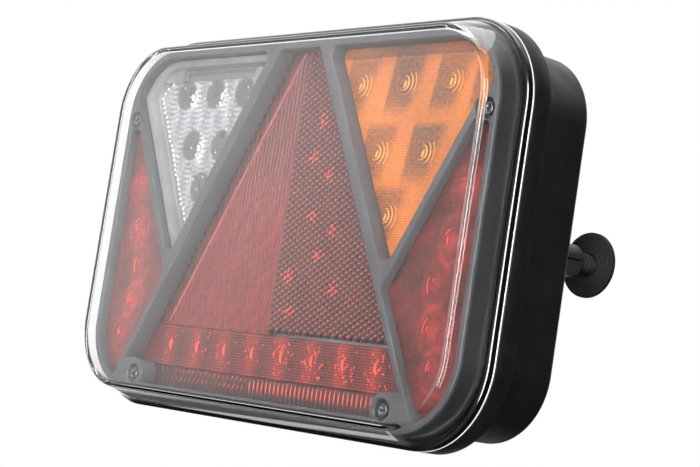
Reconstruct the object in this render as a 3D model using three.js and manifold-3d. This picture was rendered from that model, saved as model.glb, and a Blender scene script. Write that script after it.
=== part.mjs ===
// Trailer tail light: a clear-faced combination lamp with reverse, indicator, tail, brake and
// fog functions round a triangular reflector, held by two studs at the back.
// Millimetres. +X is to the right seen from the front, +Y runs from the face to the back,
// +Z is up. The origin is the centre of the housing's back face.
import * as THREE from "three";
import { mergeVertices } from "three/addons/utils/BufferGeometryUtils.js";
import Module from "manifold-3d";

const wasm = await Module();
wasm.setup();

// Driving dimensions
const WIDTH = 240;
const HEIGHT = 157.4;
const CORNER_R = 33.8;
const DEPTH = 54.6; // face of the clear lens to the housing's back face
const GAP = 0.3; // left between pieces that touch
const SLOPE = 1 / Math.sqrt(3); // the diagonals stand at 60 degrees

// Depths below, all measured from the front face of the clear lens
const LENS_FRONT_WALL = 2.6;
const LENS_SIDE_WALL = 2.4;
const LENS_EDGE_R = 2.0;
const LENS_FACE_INSET = 5.6; // the lens wall leans in by this much between its flange and its face
const LENS_FLANGE = 15.2;
const LENS_BACK = 19.0;
const HOUSING_FRONT = LENS_BACK + GAP;
const FLANGE_BACK = 27.8;
const BOX_INSET = 6.5;
const BOX_WALL = 2.6;
const BACK_WALL = 2.8;
const BEZEL_FRONT = 7.3;
const BEZEL_PLATE_BACK = 15.0;
const BEZEL_BACK = 18.6;
const BEZEL_INSET = 6.6;
const BEZEL_SKIRT = 2.0;
const PANEL_FRONT = BEZEL_PLATE_BACK + GAP;
const PANEL_BACK = 17.4;
const CARRIER_FRONT = 19.2;
const CARRIER_BACK = 21.2;
const BOARD_FRONT = 23.2;
const BOARD_THICK = 1.6;
const LED_TIP = 21.6;

// The bezel's windows, on the front plane
const FIELD_INSET = 9.5; // window field inside the rim outline
const STRIP_INNER = 52.1; // |x| at z = 0 of a strip's edge on the triangle's side
const STRIP_OUTER = 58.35; // and of its edge on the upper window's side
const UPPER_OUTER = 78.5; // outer diagonal of an upper window
const TAIL_UPPER = 82.0; // upper diagonal of a tail window
const TAIL_LOWER = 55.5; // lower diagonal of a tail window
const BRAKE_TOP = -43.5;
const BRAKE_BOTTOM = -60.8;
const PANEL_SPLIT = -4.0; // where the ribbed half of the triangle meets the reflecting half

const SCREW_SIDE = [108.0, 42.6];
const SCREW_FOOT = [79.3, -66.0];
const SCREW_PAD_R = 6.6;
const SIDE_PAD_R = 5.4;
const SCREW_HEAD_R = 2.9;
const SCREW_SHANK_R = 1.4;
const SCREW_RECESS_R = 3.9;
const POST_R = 3.4;
const TAIL_TOP_DROP = 3; // a tail window ends this far below its screw

// Fixings at the back
const STUD_X = 92;
const STUD_R = 4.0;
const STUD_END = 41.0;
const SLEEVE_R = 6.25;
const SLEEVE_END = 23.4;
const SLEEVE_SLIT = 0.9;
const WASHER_R = 12.5;
const WASHER_THICK = 2.0;
const WASHER_AT = 32.1;
const NUT_FLATS = 13.0;
const NUT_HEIGHT = 4.0;
const RUNNING = 0.1;

// Cable inlet with its pins, and the vent plug
const INLET = { x: 0, z: -34, flange: 17, barrel: 13.6, bore: 11.2, length: 15, floor: 1.2 };
const INLET_FLANGE_THICK = 2.4;
const INLET_SPIGOT = 3; // how far the inlet's spigot stands inside the back wall
const SEAL_THICK = 1.6;
const LUGS = 3;
const LUG = { size: 2.4, length: 3, from_end: 4 };
const PINS = 5;
const PIN_R = 1.1;
const PIN_RING = 5.6;
const PIN_LENGTH = 8;
const VENT = { x: 48, z: -46, stem: 3.2, cap: 6.5, height: 3.2, barb: 0.6, grip: 1.6 };

// Groove for the soft ring in the housing's front face
const GROOVE = { outer: 4.2, inner: 6.6, bottom: HOUSING_FRONT + 2.2 };

// Front depths of the lenses and of the silver tray
const AMBER_FRONT = 13.3;
const TAIL_FRONT = 10.9;
const TRAY_FRONT = 10.9;
const TRAY_FLOOR = 16.4;
const TRAY_WALL = 3.2;
const CLEAR_FRONT = 14.2;
const CLEAR_INSET = 6.5;
const LENS_LAP = 1.3; // how far a lens's flange reaches behind the bezel

// LEDs, seen from the front
const CUP_LEDS = [
  [-90.0, 53.0],
  [-69.0, 53.0],
  [-48.5, 53.0],
  [-80.0, 34.0],
  [-60.0, 34.0],
  [-70.0, 15.5],
];
const AMBER_LEDS = [
  [32.8, 54.8],
  [57.2, 54.8],
  [81.8, 54.8],
  [101.0, 54.8],
  [47.3, 29.0],
  [72.0, 29.0],
  [58.0, 6.8],
];
const TAIL_LEDS = [
  [101, 14],
  [98, -4],
  [93, -20],
  [94, -36],
  [98, -50],
];
const BRAKE_ROW = { count: 8, first: -65.1, step: 18.6, z: -51.5 };
const LED = { half: 2.5, package: 0.9, root: 0.4, post: 1.9 };
const LIGHT_HOLE_R = 4.2;
const CUP_HOLE_R = 3.4;

// Corners of the LED boards, and the carrier pins that hold them
const UPPER_BOARD = [
  [66, -6],
  [76, -6],
  [106, 48],
  [106, 58],
  [98, 66],
  [24, 66],
  [24, 60],
];
const UPPER_PINS = [
  [42, 64],
  [92, 43],
];
const TAIL_BOARD = [
  [74, -24],
  [93, -60],
  [100, -60],
  [106, -52],
  [106, 30],
  [101, 30],
];
const TAIL_PINS = [
  [103, 24],
  [103, -42],
];
const BRAKE_BOARD = [
  [-76, -57.5],
  [76, -57.5],
  [71, -45],
  [-71, -45],
];
const BRAKE_PINS = [
  [-55.8, -47.5],
  [55.8, -47.5],
];
const CARRIER_PIN_R = 1.2;
const CARRIER_SHOULDER_R = 2.2;

// Driver board, its parts and its screws
const DRIVER_FRONT = 38;
const DRIVER = { x0: -44, x1: 44, z0: -14, z1: 34, screw_inset: 5 };
const DRIVER_SCREW = { head: 2.6, shank: 1.0, hole: 1.5, post: 3 };
const BLOCKS = [
  { x: [-32, -22], z: [2, 10], tall: 3 },
  { x: [-12, 2], z: [12, 20], tall: 2 },
  { x: [12, 20], z: [-4, 4], tall: 4 },
  { x: [24, 34], z: [12, 22], tall: 2.4 },
  { x: [-14, 14], z: [-12, -6], tall: 6 }, // the connector for the wires
];
const CANS = [
  { x: -26, z: 22, radius: 4, tall: 9 },
  { x: 6, z: 2, radius: 3.2, tall: 7 },
];
const LOOM_R = 2.2;

const y = (depth) => depth - DEPTH;

function material(colour, roughness, metalness = 0, opacity = 1) {
  return new THREE.MeshStandardMaterial({
    color: colour,
    roughness,
    metalness,
    opacity,
    transparent: opacity < 1,
  });
}

const finish = {
  clear: material(0xf2f5f7, 0.05, 0, 0.25),
  charcoal: material(0x55565a, 0.55),
  black: material(0x151517, 0.5),
  rubber: material(0x101011, 0.85),
  red: material(0xb01c1c, 0.2),
  redDark: material(0x7d1517, 0.25),
  amber: material(0xf08a1c, 0.2),
  silver: material(0xcfd2d6, 0.2, 0.9),
  grey: material(0x8d9095, 0.5),
  board: material(0xe8e6df, 0.6),
  green: material(0x1f5b35, 0.6),
  steel: material(0xb9bcc0, 0.35, 0.9),
  blackSteel: material(0x1c1c1e, 0.45, 0.6),
  brass: material(0xc7a24a, 0.35, 0.9),
  copper: material(0x9c2a22, 0.6),
};

// Solids

function solid(source) {
  const bare = source.index ? source.clone() : mergeVertices(source.clone());
  bare.deleteAttribute("normal");
  bare.deleteAttribute("uv");
  const welded = mergeVertices(bare, 1e-4);
  const mesh = new wasm.Mesh({
    numProp: 3,
    vertProperties: new Float32Array(welded.attributes.position.array),
    triVerts: new Uint32Array(welded.index.array),
  });
  return new wasm.Manifold(mesh);
}

function join(first, ...others) {
  return others.reduce((sum, other) => sum.add(other), first);
}

function cut(first, ...others) {
  return others.reduce((rest, other) => rest.subtract(other), first);
}

const model = new THREE.Group();

function piece(name, body, look) {
  const { vertProperties, triVerts, numProp } = body.getMesh();
  const geometry = new THREE.BufferGeometry();
  const points = new Float32Array((vertProperties.length / numProp) * 3);
  for (let i = 0; i < points.length / 3; i += 1) {
    points.set(vertProperties.subarray(i * numProp, i * numProp + 3), i * 3);
  }
  geometry.setAttribute("position", new THREE.BufferAttribute(points, 3));
  geometry.setIndex(new THREE.BufferAttribute(new Uint32Array(triVerts), 1));
  geometry.computeVertexNormals();
  const mesh = new THREE.Mesh(geometry, look);
  mesh.name = name;
  model.add(mesh);
  return mesh;
}

// A flat outline in x and z, drawn out along y between two depths
function prism(outline, from, to) {
  const shape = outline instanceof THREE.Shape ? outline : new THREE.Shape(outline);
  const extrude = { depth: to - from, bevelEnabled: false, curveSegments: 8 };
  const geometry = new THREE.ExtrudeGeometry(shape, extrude);
  geometry.rotateX(Math.PI / 2);
  geometry.translate(0, to, 0);
  return solid(geometry);
}

function roundedOutline(width, height, radius, steps = 8) {
  const points = [];
  const corners = [
    [1, 1, 0],
    [-1, 1, 90],
    [-1, -1, 180],
    [1, -1, 270],
  ];
  for (const [sx, sz, start] of corners) {
    const cx = sx * (width / 2 - radius);
    const cz = sz * (height / 2 - radius);
    for (let i = 0; i <= steps; i += 1) {
      const angle = THREE.MathUtils.degToRad(start + (90 * i) / steps);
      points.push(new THREE.Vector2(cx + radius * Math.cos(angle), cz + radius * Math.sin(angle)));
    }
  }
  return points;
}

// The lamp's outline, drawn in by an inset all round
function lampOutline(inset, steps = 8) {
  return roundedOutline(WIDTH - 2 * inset, HEIGHT - 2 * inset, CORNER_R - inset, steps);
}

// A closed body through lamp outlines, each given as [depth, inset], front first
function loft(sections, steps = 8) {
  const rings = sections.map(([depth, inset]) =>
    lampOutline(inset, steps).map((p) => [p.x, y(depth), p.y]),
  );
  const count = rings[0].length;
  const positions = rings.flat(2);
  const index = [];
  for (let ring = 0; ring + 1 < rings.length; ring += 1) {
    for (let i = 0; i < count; i += 1) {
      const a = ring * count + i;
      const b = ring * count + ((i + 1) % count);
      index.push(a, b, b + count, a, b + count, a + count);
    }
  }
  const last = (rings.length - 1) * count;
  for (let i = 1; i + 1 < count; i += 1) {
    index.push(0, i + 1, i, last, last + i, last + i + 1);
  }
  const geometry = new THREE.BufferGeometry();
  geometry.setAttribute("position", new THREE.Float32BufferAttribute(positions, 3));
  geometry.setIndex(index.reverse());
  return solid(geometry);
}

function rod(x, z, radius, from, to, sides = 24) {
  const geometry = new THREE.CylinderGeometry(radius, radius, to - from, sides);
  geometry.translate(x, (from + to) / 2, z);
  return solid(geometry);
}

// A hole whose flats stay outside the given radius
function bore(x, z, radius, from, to, sides = 24) {
  return rod(x, z, radius / Math.cos(Math.PI / sides), from, to, sides);
}

function block(x0, x1, y0, y1, z0, z1) {
  const geometry = new THREE.BoxGeometry(x1 - x0, y1 - y0, z1 - z0);
  geometry.translate((x0 + x1) / 2, (y0 + y1) / 2, (z0 + z1) / 2);
  return solid(geometry);
}

// Outlines of the windows

function fillet(corners, radii, steps = 6) {
  const points = [];
  corners.forEach((corner, i) => {
    const before = corners[(i + corners.length - 1) % corners.length];
    const after = corners[(i + 1) % corners.length];
    const radius = radii[i];
    if (radius <= 0) {
      points.push(corner.clone());
      return;
    }
    const toBefore = before.clone().sub(corner).normalize();
    const toAfter = after.clone().sub(corner).normalize();
    const half = Math.acos(toBefore.dot(toAfter)) / 2;
    const middle = toBefore.clone().add(toAfter).normalize();
    const centre = corner.clone().addScaledVector(middle, radius / Math.sin(half));
    const start = corner.clone().addScaledVector(toBefore, radius / Math.tan(half)).sub(centre);
    const end = corner.clone().addScaledVector(toAfter, radius / Math.tan(half)).sub(centre);
    const sweep = Math.atan2(start.cross(end), start.dot(end));
    for (let step = 0; step <= steps; step += 1) {
      const turned = start.clone().rotateAround(new THREE.Vector2(), (sweep * step) / steps);
      points.push(centre.clone().add(turned));
    }
  });
  return points;
}

// The same corners with every edge moved inwards; the corners run anticlockwise
function shrink(corners, distance) {
  const moved = corners.map((corner, i) => {
    const next = corners[(i + 1) % corners.length];
    const along = next.clone().sub(corner).normalize();
    const inward = new THREE.Vector2(-along.y, along.x);
    return { point: corner.clone().addScaledVector(inward, distance), along };
  });
  return moved.map((edge, i) => {
    const previous = moved[(i + moved.length - 1) % moved.length];
    const between = edge.point.clone().sub(previous.point);
    const reach = between.cross(edge.along) / previous.along.cross(edge.along);
    return previous.point.clone().addScaledVector(previous.along, reach);
  });
}

const FAR = 125; // past the field, which trims these outlines
const apex = (upper, lower) => (lower - upper) / (2 * SLOPE);
const upperApexZ = apex(UPPER_OUTER, STRIP_OUTER);
const tailApexZ = apex(TAIL_UPPER, TAIL_LOWER);
const fieldTop = HEIGHT / 2 - FIELD_INSET;

const windows = {
  upper: {
    corners: [
      [STRIP_OUTER - SLOPE * upperApexZ, upperApexZ],
      [FAR, (FAR - UPPER_OUTER) / SLOPE],
      [FAR, 90],
      [STRIP_OUTER - SLOPE * fieldTop, 90],
      [STRIP_OUTER - SLOPE * fieldTop, fieldTop],
    ],
    radii: [4.5, 0, 0, 0, 3],
  },
  tail: {
    corners: [
      [TAIL_LOWER - SLOPE * tailApexZ, tailApexZ],
      [TAIL_LOWER + SLOPE * 90, -90],
      [FAR, -90],
      [FAR, (FAR - TAIL_UPPER) / SLOPE],
    ],
    radii: [1.5, 0, 0, 0],
  },
  triangle: {
    corners: [
      [-STRIP_INNER - SLOPE * 90, -90],
      [STRIP_INNER + SLOPE * 90, -90],
      [0, STRIP_INNER / SLOPE],
    ],
    radii: [0, 0, 0],
  },
};

function mirrored(points) {
  return points.map((p) => new THREE.Vector2(-p.x, p.y)).reverse();
}

// side is 1 for the right, -1 for the left and 0 for the triangle; play shrinks the outline
function windowSolid(kind, side, play, from, to) {
  const { corners, radii } = windows[kind];
  let points = corners.map(([x, z]) => new THREE.Vector2(x, z));
  points = shrink(points, play);
  const rounds = radii.map((r) => (r > 0 ? Math.max(r - play, 0.2) : 0));
  points = fillet(points, rounds);
  if (side < 0) points = mirrored(points);
  const raw = prism(points, from, to);
  let trimmed = raw.intersect(prism(lampOutline(FIELD_INSET + play), from - 1, to + 1));
  if (kind === "triangle") {
    for (const s of [-1, 1]) {
      const [px, pz] = SCREW_FOOT;
      const pad = rod(s * px, pz, SCREW_PAD_R + play, from - 1, to + 1, 24);
      const xs = [s * px, s * (px + 30)].sort((a, b) => a - b);
      const corner = block(xs[0], xs[1], from - 1, to + 1, -90, pz + SCREW_PAD_R + play);
      trimmed = cut(trimmed, pad, corner);
    }
  }
  if (kind === "tail") {
    const [px, pz] = SCREW_SIDE;
    const pad = rod(side * px, pz, SIDE_PAD_R + play, from - 1, to + 1, 24);
    trimmed = cut(trimmed, pad, block(-FAR, FAR, from - 1, to + 1, pz - TAIL_TOP_DROP, 90));
  }
  return trimmed;
}

const screwPlaces = [
  ["top_left", -SCREW_SIDE[0], SCREW_SIDE[1]],
  ["top_right", SCREW_SIDE[0], SCREW_SIDE[1]],
  ["bottom_left", -SCREW_FOOT[0], SCREW_FOOT[1]],
  ["bottom_right", SCREW_FOOT[0], SCREW_FOOT[1]],
];

const boardPosts = [
  [DRIVER.x0 + DRIVER.screw_inset, DRIVER.z0 + DRIVER.screw_inset],
  [DRIVER.x1 - DRIVER.screw_inset, DRIVER.z0 + DRIVER.screw_inset],
  [DRIVER.x0 + DRIVER.screw_inset, DRIVER.z1 - DRIVER.screw_inset],
  [DRIVER.x1 - DRIVER.screw_inset, DRIVER.z1 - DRIVER.screw_inset],
];

// Filled in as the boards are made, for the carrier's pins and light holes
const boardPins = [];
const ledPlaces = [];

// Clear cover: a thin cap with a flange at the back, welded to the housing
function lensCover() {
  const lean = (depth) =>
    LENS_FACE_INSET * (1 - (depth - LENS_EDGE_R) / (LENS_BACK - LENS_EDGE_R));
  const outside = loft([
    [0, LENS_FACE_INSET + LENS_EDGE_R],
    [LENS_EDGE_R * 0.3, LENS_FACE_INSET + LENS_EDGE_R * 0.3],
    [LENS_EDGE_R, LENS_FACE_INSET],
    [LENS_FLANGE, lean(LENS_FLANGE)],
    [LENS_FLANGE + 0.5, 0.3],
    [LENS_FLANGE + 1.0, 0],
    [LENS_BACK, 0],
  ]);
  const inside = loft([
    [LENS_FRONT_WALL, lean(LENS_FRONT_WALL) + LENS_SIDE_WALL + 0.6],
    [LENS_FRONT_WALL + 0.8, lean(LENS_FRONT_WALL + 0.8) + LENS_SIDE_WALL],
    [LENS_BACK + 1, lean(LENS_BACK) + LENS_SIDE_WALL + 0.6],
  ]);
  piece("lens_cover", cut(outside, inside), finish.clear);
}

// Soft ring in a groove of the housing's front face
function gasket() {
  const ring = cut(
    loft([
      [HOUSING_FRONT + 0.1, GROOVE.outer + GAP],
      [GROOVE.bottom - GAP, GROOVE.outer + GAP],
    ]),
    loft([
      [HOUSING_FRONT - 1, GROOVE.inner - GAP],
      [GROOVE.bottom + 1, GROOVE.inner - GAP],
    ]),
  );
  piece("lens_gasket", ring, finish.rubber);
}

// Black shell: a flange as wide as the lens and a deeper box set in from it
function housing() {
  const outside = loft([
    [HOUSING_FRONT, 0.4],
    [HOUSING_FRONT + 0.4, 0],
    [FLANGE_BACK - 0.6, 0],
    [FLANGE_BACK, 0.6],
    [FLANGE_BACK + 0.05, BOX_INSET],
    [DEPTH - 1.6, BOX_INSET],
    [DEPTH - 0.5, BOX_INSET + 0.5],
    [DEPTH, BOX_INSET + 1.8],
  ]);
  const hollow = loft([
    [HOUSING_FRONT - 1, BOX_INSET + BOX_WALL],
    [DEPTH - BACK_WALL, BOX_INSET + BOX_WALL],
  ]);
  const groove = cut(
    loft([
      [HOUSING_FRONT - 1, GROOVE.outer],
      [GROOVE.bottom, GROOVE.outer],
    ]),
    loft([
      [HOUSING_FRONT - 2, GROOVE.inner],
      [GROOVE.bottom + 1, GROOVE.inner],
    ]),
  );
  let shell = cut(outside, hollow, groove);
  const inner = loft([
    [CARRIER_BACK + GAP, BOX_INSET + 1],
    [DEPTH - 1, BOX_INSET + 1],
  ]);
  for (const [, x, z] of screwPlaces) {
    const post = rod(x, z, POST_R, y(CARRIER_BACK + GAP), y(DEPTH - 1), 14).intersect(inner);
    shell = cut(shell.add(post), bore(x, z, SCREW_SHANK_R + 0.1, y(10), y(34), 10));
  }
  for (const [x, z] of boardPosts) {
    const { post: radius, shank } = DRIVER_SCREW;
    const post = rod(x, z, radius, y(DRIVER_FRONT + BOARD_THICK + GAP), y(DEPTH - 1), 12);
    const hole = bore(x, z, shank + RUNNING, y(DRIVER_FRONT), y(DRIVER_FRONT + 9), 8);
    shell = cut(shell.add(post), hole);
  }
  for (const side of [-1, 1]) {
    shell = cut(shell, bore(side * STUD_X, 0, STUD_R + RUNNING, -6, 3));
  }
  shell = cut(shell, bore(INLET.x, INLET.z, INLET.barrel - 2, -6, 3, 32));
  shell = cut(shell, bore(VENT.x, VENT.z, VENT.stem + 0.15, -6, 3));
  piece("housing", shell, finish.black);
}

// Charcoal frame in front of the lenses, with a window for each function
function bezel() {
  let frame = loft([
    [BEZEL_FRONT, BEZEL_INSET + 0.6],
    [BEZEL_FRONT + 0.6, BEZEL_INSET],
    [BEZEL_BACK, BEZEL_INSET - 0.9],
  ]);
  const behind = loft([
    [BEZEL_PLATE_BACK, BEZEL_INSET + BEZEL_SKIRT],
    [BEZEL_BACK + 1, BEZEL_INSET + BEZEL_SKIRT - 0.7],
  ]);
  frame = cut(frame, behind);
  const skirtRoom = loft([
    [BEZEL_FRONT, BEZEL_INSET + 0.5],
    [BEZEL_BACK + 1, BEZEL_INSET + 0.5],
  ]);
  for (const [, x, z] of screwPlaces) {
    const boss = rod(x, z, POST_R, y(BEZEL_PLATE_BACK - 1), y(BEZEL_BACK), 14);
    frame = frame.add(boss.intersect(skirtRoom));
  }
  const from = y(BEZEL_FRONT - 2);
  const to = y(BEZEL_BACK + 2);
  frame = cut(
    frame,
    windowSolid("upper", 1, 0, from, to),
    windowSolid("upper", -1, 0, from, to),
    windowSolid("tail", 1, 0, from, to),
    windowSolid("tail", -1, 0, from, to),
    windowSolid("triangle", 0, 0, from, to),
  );
  for (const [, x, z] of screwPlaces) {
    frame = cut(
      frame,
      bore(x, z, SCREW_RECESS_R, y(BEZEL_FRONT - 1), y(BEZEL_FRONT + 2.6), 20),
      bore(x, z, SCREW_SHANK_R + 0.3, y(BEZEL_FRONT), y(BEZEL_BACK + 1), 16),
    );
  }
  piece("bezel_frame", frame, finish.charcoal);
}

function bezelScrews() {
  const seat = BEZEL_FRONT + 2.6;
  for (const [place, x, z] of screwPlaces) {
    const head = rod(x, z, SCREW_HEAD_R, y(seat - 2.2), y(seat - GAP));
    const shank = rod(x, z, SCREW_SHANK_R, y(seat - 1), y(32), 10);
    const star = [0, 1, 2].map((turn) => {
      const bar = new THREE.BoxGeometry(2.9, 1.4, 0.9);
      bar.rotateY((turn * Math.PI) / 3);
      bar.translate(x, y(seat - 2.2) + 0.3, z);
      return solid(bar);
    });
    piece(`bezel_screw_${place}`, cut(join(head, shank), ...star), finish.steel);
  }
}

// A lens that stands in its window with a flange behind the bezel's plate
function pluggedLens(kind, side, front) {
  const plug = windowSolid(kind, side, GAP, y(front), y(PANEL_FRONT + 0.5));
  const flange = windowSolid(kind, side, -LENS_LAP, y(PANEL_FRONT), y(PANEL_BACK));
  return trimmedBehind(join(plug, flange));
}

// Keeps a panel inside the bezel's skirt and clear of its screw bosses
function trimmedBehind(body) {
  const room = loft([
    [3, BEZEL_INSET + BEZEL_SKIRT + GAP],
    [BEZEL_BACK + 4, BEZEL_INSET + BEZEL_SKIRT + GAP],
  ]);
  const bosses = screwPlaces.map(([, x, z]) =>
    rod(x, z, POST_R + GAP, y(3), y(BEZEL_BACK + 4), 14),
  );
  return cut(body.intersect(room), ...bosses);
}

function colouredLenses() {
  piece("indicator_lens", pluggedLens("upper", 1, AMBER_FRONT), finish.amber);
  piece("tail_lens_left", pluggedLens("tail", -1, TAIL_FRONT), finish.red);
  piece("tail_lens_right", pluggedLens("tail", 1, TAIL_FRONT), finish.red);
}

// Silver tray in the reverse window, with a cup for each LED and a clear lens in front of them
function reverseUnit() {
  const rim = windowSolid("upper", -1, GAP, y(TRAY_FRONT), y(PANEL_FRONT + 0.5));
  const base = windowSolid("upper", -1, -LENS_LAP, y(PANEL_FRONT), y(TRAY_FLOOR + 1.6));
  const well = windowSolid("upper", -1, TRAY_WALL, y(TRAY_FRONT - 1), y(TRAY_FLOOR));
  let tray = cut(join(rim, base), well);
  for (const [x, z] of CUP_LEDS) {
    tray = cut(tray, rod(x, z, CUP_HOLE_R, y(TRAY_FRONT), y(TRAY_FLOOR + 4), 12));
  }
  piece("reverse_reflector", trimmedBehind(tray), finish.silver);
  const patch = windowSolid("upper", -1, CLEAR_INSET, y(CLEAR_FRONT), y(TRAY_FLOOR - GAP));
  piece("reverse_lens", patch, finish.clear);
}

// Three panels and the brake lens share the triangle
function trianglePanels() {
  const area = (x0, x1, z0, z1) => block(x0, x1, y(0), y(DEPTH), z0, z1);
  const half = GAP / 2;
  const whole = windowSolid("triangle", 0, -LENS_LAP, y(PANEL_FRONT), y(PANEL_BACK));
  const panels = trimmedBehind(whole);
  const top = HEIGHT / 2;
  const ribbed = panels.intersect(area(-WIDTH, PANEL_SPLIT - half, BRAKE_TOP + half, top));
  const reflex = panels.intersect(area(PANEL_SPLIT + half, WIDTH, BRAKE_TOP + half, top));
  const brake = panels.intersect(area(-WIDTH, WIDTH, BRAKE_BOTTOM + half, BRAKE_TOP - half));
  const foot = panels.intersect(area(-WIDTH, WIDTH, -top, BRAKE_BOTTOM - half));
  piece("centre_tail_lens", ribbed, finish.red);
  piece("reflex_reflector", reflex, finish.redDark);
  piece("brake_lens", brake, finish.red);
  piece("fog_lens", foot, finish.redDark);
}


// Plate behind the lenses that carries the boards, with a hole for the light of each LED
function carrier() {
  const outline = BOX_INSET + BOX_WALL + 0.8;
  const faces = [
    [CARRIER_FRONT, outline],
    [CARRIER_BACK, outline],
  ];
  let plate = loft(faces, 5);
  const from = y(CARRIER_FRONT - 1);
  const to = y(CARRIER_BACK + 1);
  for (const [x, z] of ledPlaces) {
    plate = cut(plate, rod(x, z, LIGHT_HOLE_R, from, to, 10));
  }
  for (const [, x, z] of screwPlaces) {
    plate = cut(plate, bore(x, z, SCREW_SHANK_R + GAP, from, to, 16));
  }
  for (const [x, z] of boardPins) {
    const shoulder = rod(x, z, CARRIER_SHOULDER_R, y(CARRIER_BACK - 0.5), y(BOARD_FRONT - GAP), 8);
    const pin = rod(x, z, CARRIER_PIN_R, y(CARRIER_BACK), y(BOARD_FRONT + BOARD_THICK + 1), 8);
    plate = join(plate, shoulder, pin);
  }
  piece("inner_carrier", plate, finish.grey);
}

// A board with its LED packages in front, held on two carrier pins
function ledBoard(name, corners, leds, pins) {
  const front = y(BOARD_FRONT);
  const outline = corners.map(([x, z]) => new THREE.Vector2(x, z));
  let board = prism(outline, front, front + BOARD_THICK);
  for (const [x, z] of leds) {
    const root = front + LED.root;
    const chip = block(
      x - LED.half, x + LED.half, front - LED.package, root, z - LED.half, z + LED.half,
    );
    board = join(board, chip, rod(x, z, LED.post, y(LED_TIP), front, 8));
    ledPlaces.push([x, z]);
  }
  for (const [x, z] of pins) {
    const hole = bore(x, z, CARRIER_PIN_R + RUNNING, front - 2, front + BOARD_THICK + 2, 8);
    board = cut(board, hole);
    boardPins.push([x, z]);
  }
  piece(name, board, finish.board);
}

// The same places on the other side of the lamp
function flipped(places) {
  return places.map(([x, z]) => [-x, z]).reverse();
}

function boards() {
  ledBoard("indicator_led_board", UPPER_BOARD, AMBER_LEDS, UPPER_PINS);
  ledBoard("reverse_led_board", flipped(UPPER_BOARD), CUP_LEDS, flipped(UPPER_PINS));
  ledBoard("tail_led_board_right", TAIL_BOARD, TAIL_LEDS, TAIL_PINS);
  ledBoard("tail_led_board_left", flipped(TAIL_BOARD), flipped(TAIL_LEDS), flipped(TAIL_PINS));
  const row = [];
  for (let i = 0; i < BRAKE_ROW.count; i += 1) {
    row.push([BRAKE_ROW.first + BRAKE_ROW.step * i, BRAKE_ROW.z]);
  }
  ledBoard("brake_led_board", BRAKE_BOARD, row, BRAKE_PINS);
}

// Driver board on four posts of the housing
function driverBoard() {
  const front = y(DRIVER_FRONT);
  const root = front + 0.2;
  let board = block(DRIVER.x0, DRIVER.x1, front, front + BOARD_THICK, DRIVER.z0, DRIVER.z1);
  for (const { x, z, tall } of BLOCKS) {
    board = board.add(block(x[0], x[1], front - tall, root, z[0], z[1]));
  }
  for (const { x, z, radius, tall } of CANS) {
    board = board.add(rod(x, z, radius, front - tall, root, 14));
  }
  boardPosts.forEach(([x, z], i) => {
    board = cut(board, bore(x, z, DRIVER_SCREW.hole, front - 2, front + 4, 10));
    const head = rod(x, z, DRIVER_SCREW.head, front - 2, front - GAP / 2, 12);
    const shank = rod(x, z, DRIVER_SCREW.shank, front - 1, front + 8, 8);
    piece(`driver_screw_${i + 1}`, join(head, shank), finish.steel);
  });
  piece("driver_board", board, finish.green);
}

// Vent plug in the back wall
function ventPlug() {
  const inner = -BACK_WALL - VENT.grip;
  const stem = rod(VENT.x, VENT.z, VENT.stem, inner, 1.2);
  const barb = rod(VENT.x, VENT.z, VENT.stem + VENT.barb, inner, -BACK_WALL - GAP);
  const cap = rod(VENT.x, VENT.z, VENT.cap, GAP, VENT.height, 24);
  piece("vent_plug", join(stem, barb, cap), finish.rubber);
}

// Round cable inlet with its pins, and a sealing ring under its flange
function inlet() {
  const { x, z, flange, barrel, bore: mouth, length, floor } = INLET;
  const seat = GAP + SEAL_THICK + GAP;
  const end = seat + length;
  const seal = cut(
    rod(x, z, flange - 1, GAP, GAP + SEAL_THICK, 32),
    bore(x, z, barrel + 0.2, -1, seat + 2, 32),
  );
  piece("inlet_seal", seal, finish.rubber);
  const body = join(
    rod(x, z, flange, seat, seat + INLET_FLANGE_THICK, 32),
    rod(x, z, barrel, seat, end, 28),
    rod(x, z, barrel - 2 - RUNNING, -BACK_WALL - INLET_SPIGOT, seat + 1, 24),
  );
  const lugs = [];
  for (let i = 0; i < LUGS; i += 1) {
    const lug = new THREE.BoxGeometry(LUG.size, LUG.length, LUG.size);
    lug.translate(barrel + LUG.size / 3, end - LUG.from_end, 0);
    lug.rotateY((i * 2 * Math.PI) / LUGS);
    lug.translate(x, 0, z);
    lugs.push(solid(lug));
  }
  const cavity = bore(x, z, mouth, seat + floor, end + 1, 28);
  const wireRoom = bore(x, z, mouth - 3, -BACK_WALL - INLET_SPIGOT - 1, seat - floor, 16);
  let socket = cut(join(body, ...lugs), cavity, wireRoom);
  for (let i = 0; i < PINS; i += 1) {
    const angle = (i * 2 * Math.PI) / PINS + Math.PI / 2;
    const px = x + PIN_RING * Math.cos(angle);
    const pz = z + PIN_RING * Math.sin(angle);
    socket = cut(socket, bore(px, pz, PIN_R + RUNNING, -8, seat + floor + 1, 8));
    const pin = rod(px, pz, PIN_R, -BACK_WALL - 4, seat + floor + PIN_LENGTH, 8);
    piece(`inlet_pin_${i + 1}`, pin, finish.brass);
  }
  piece("inlet_socket", socket, finish.black);
}

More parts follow.
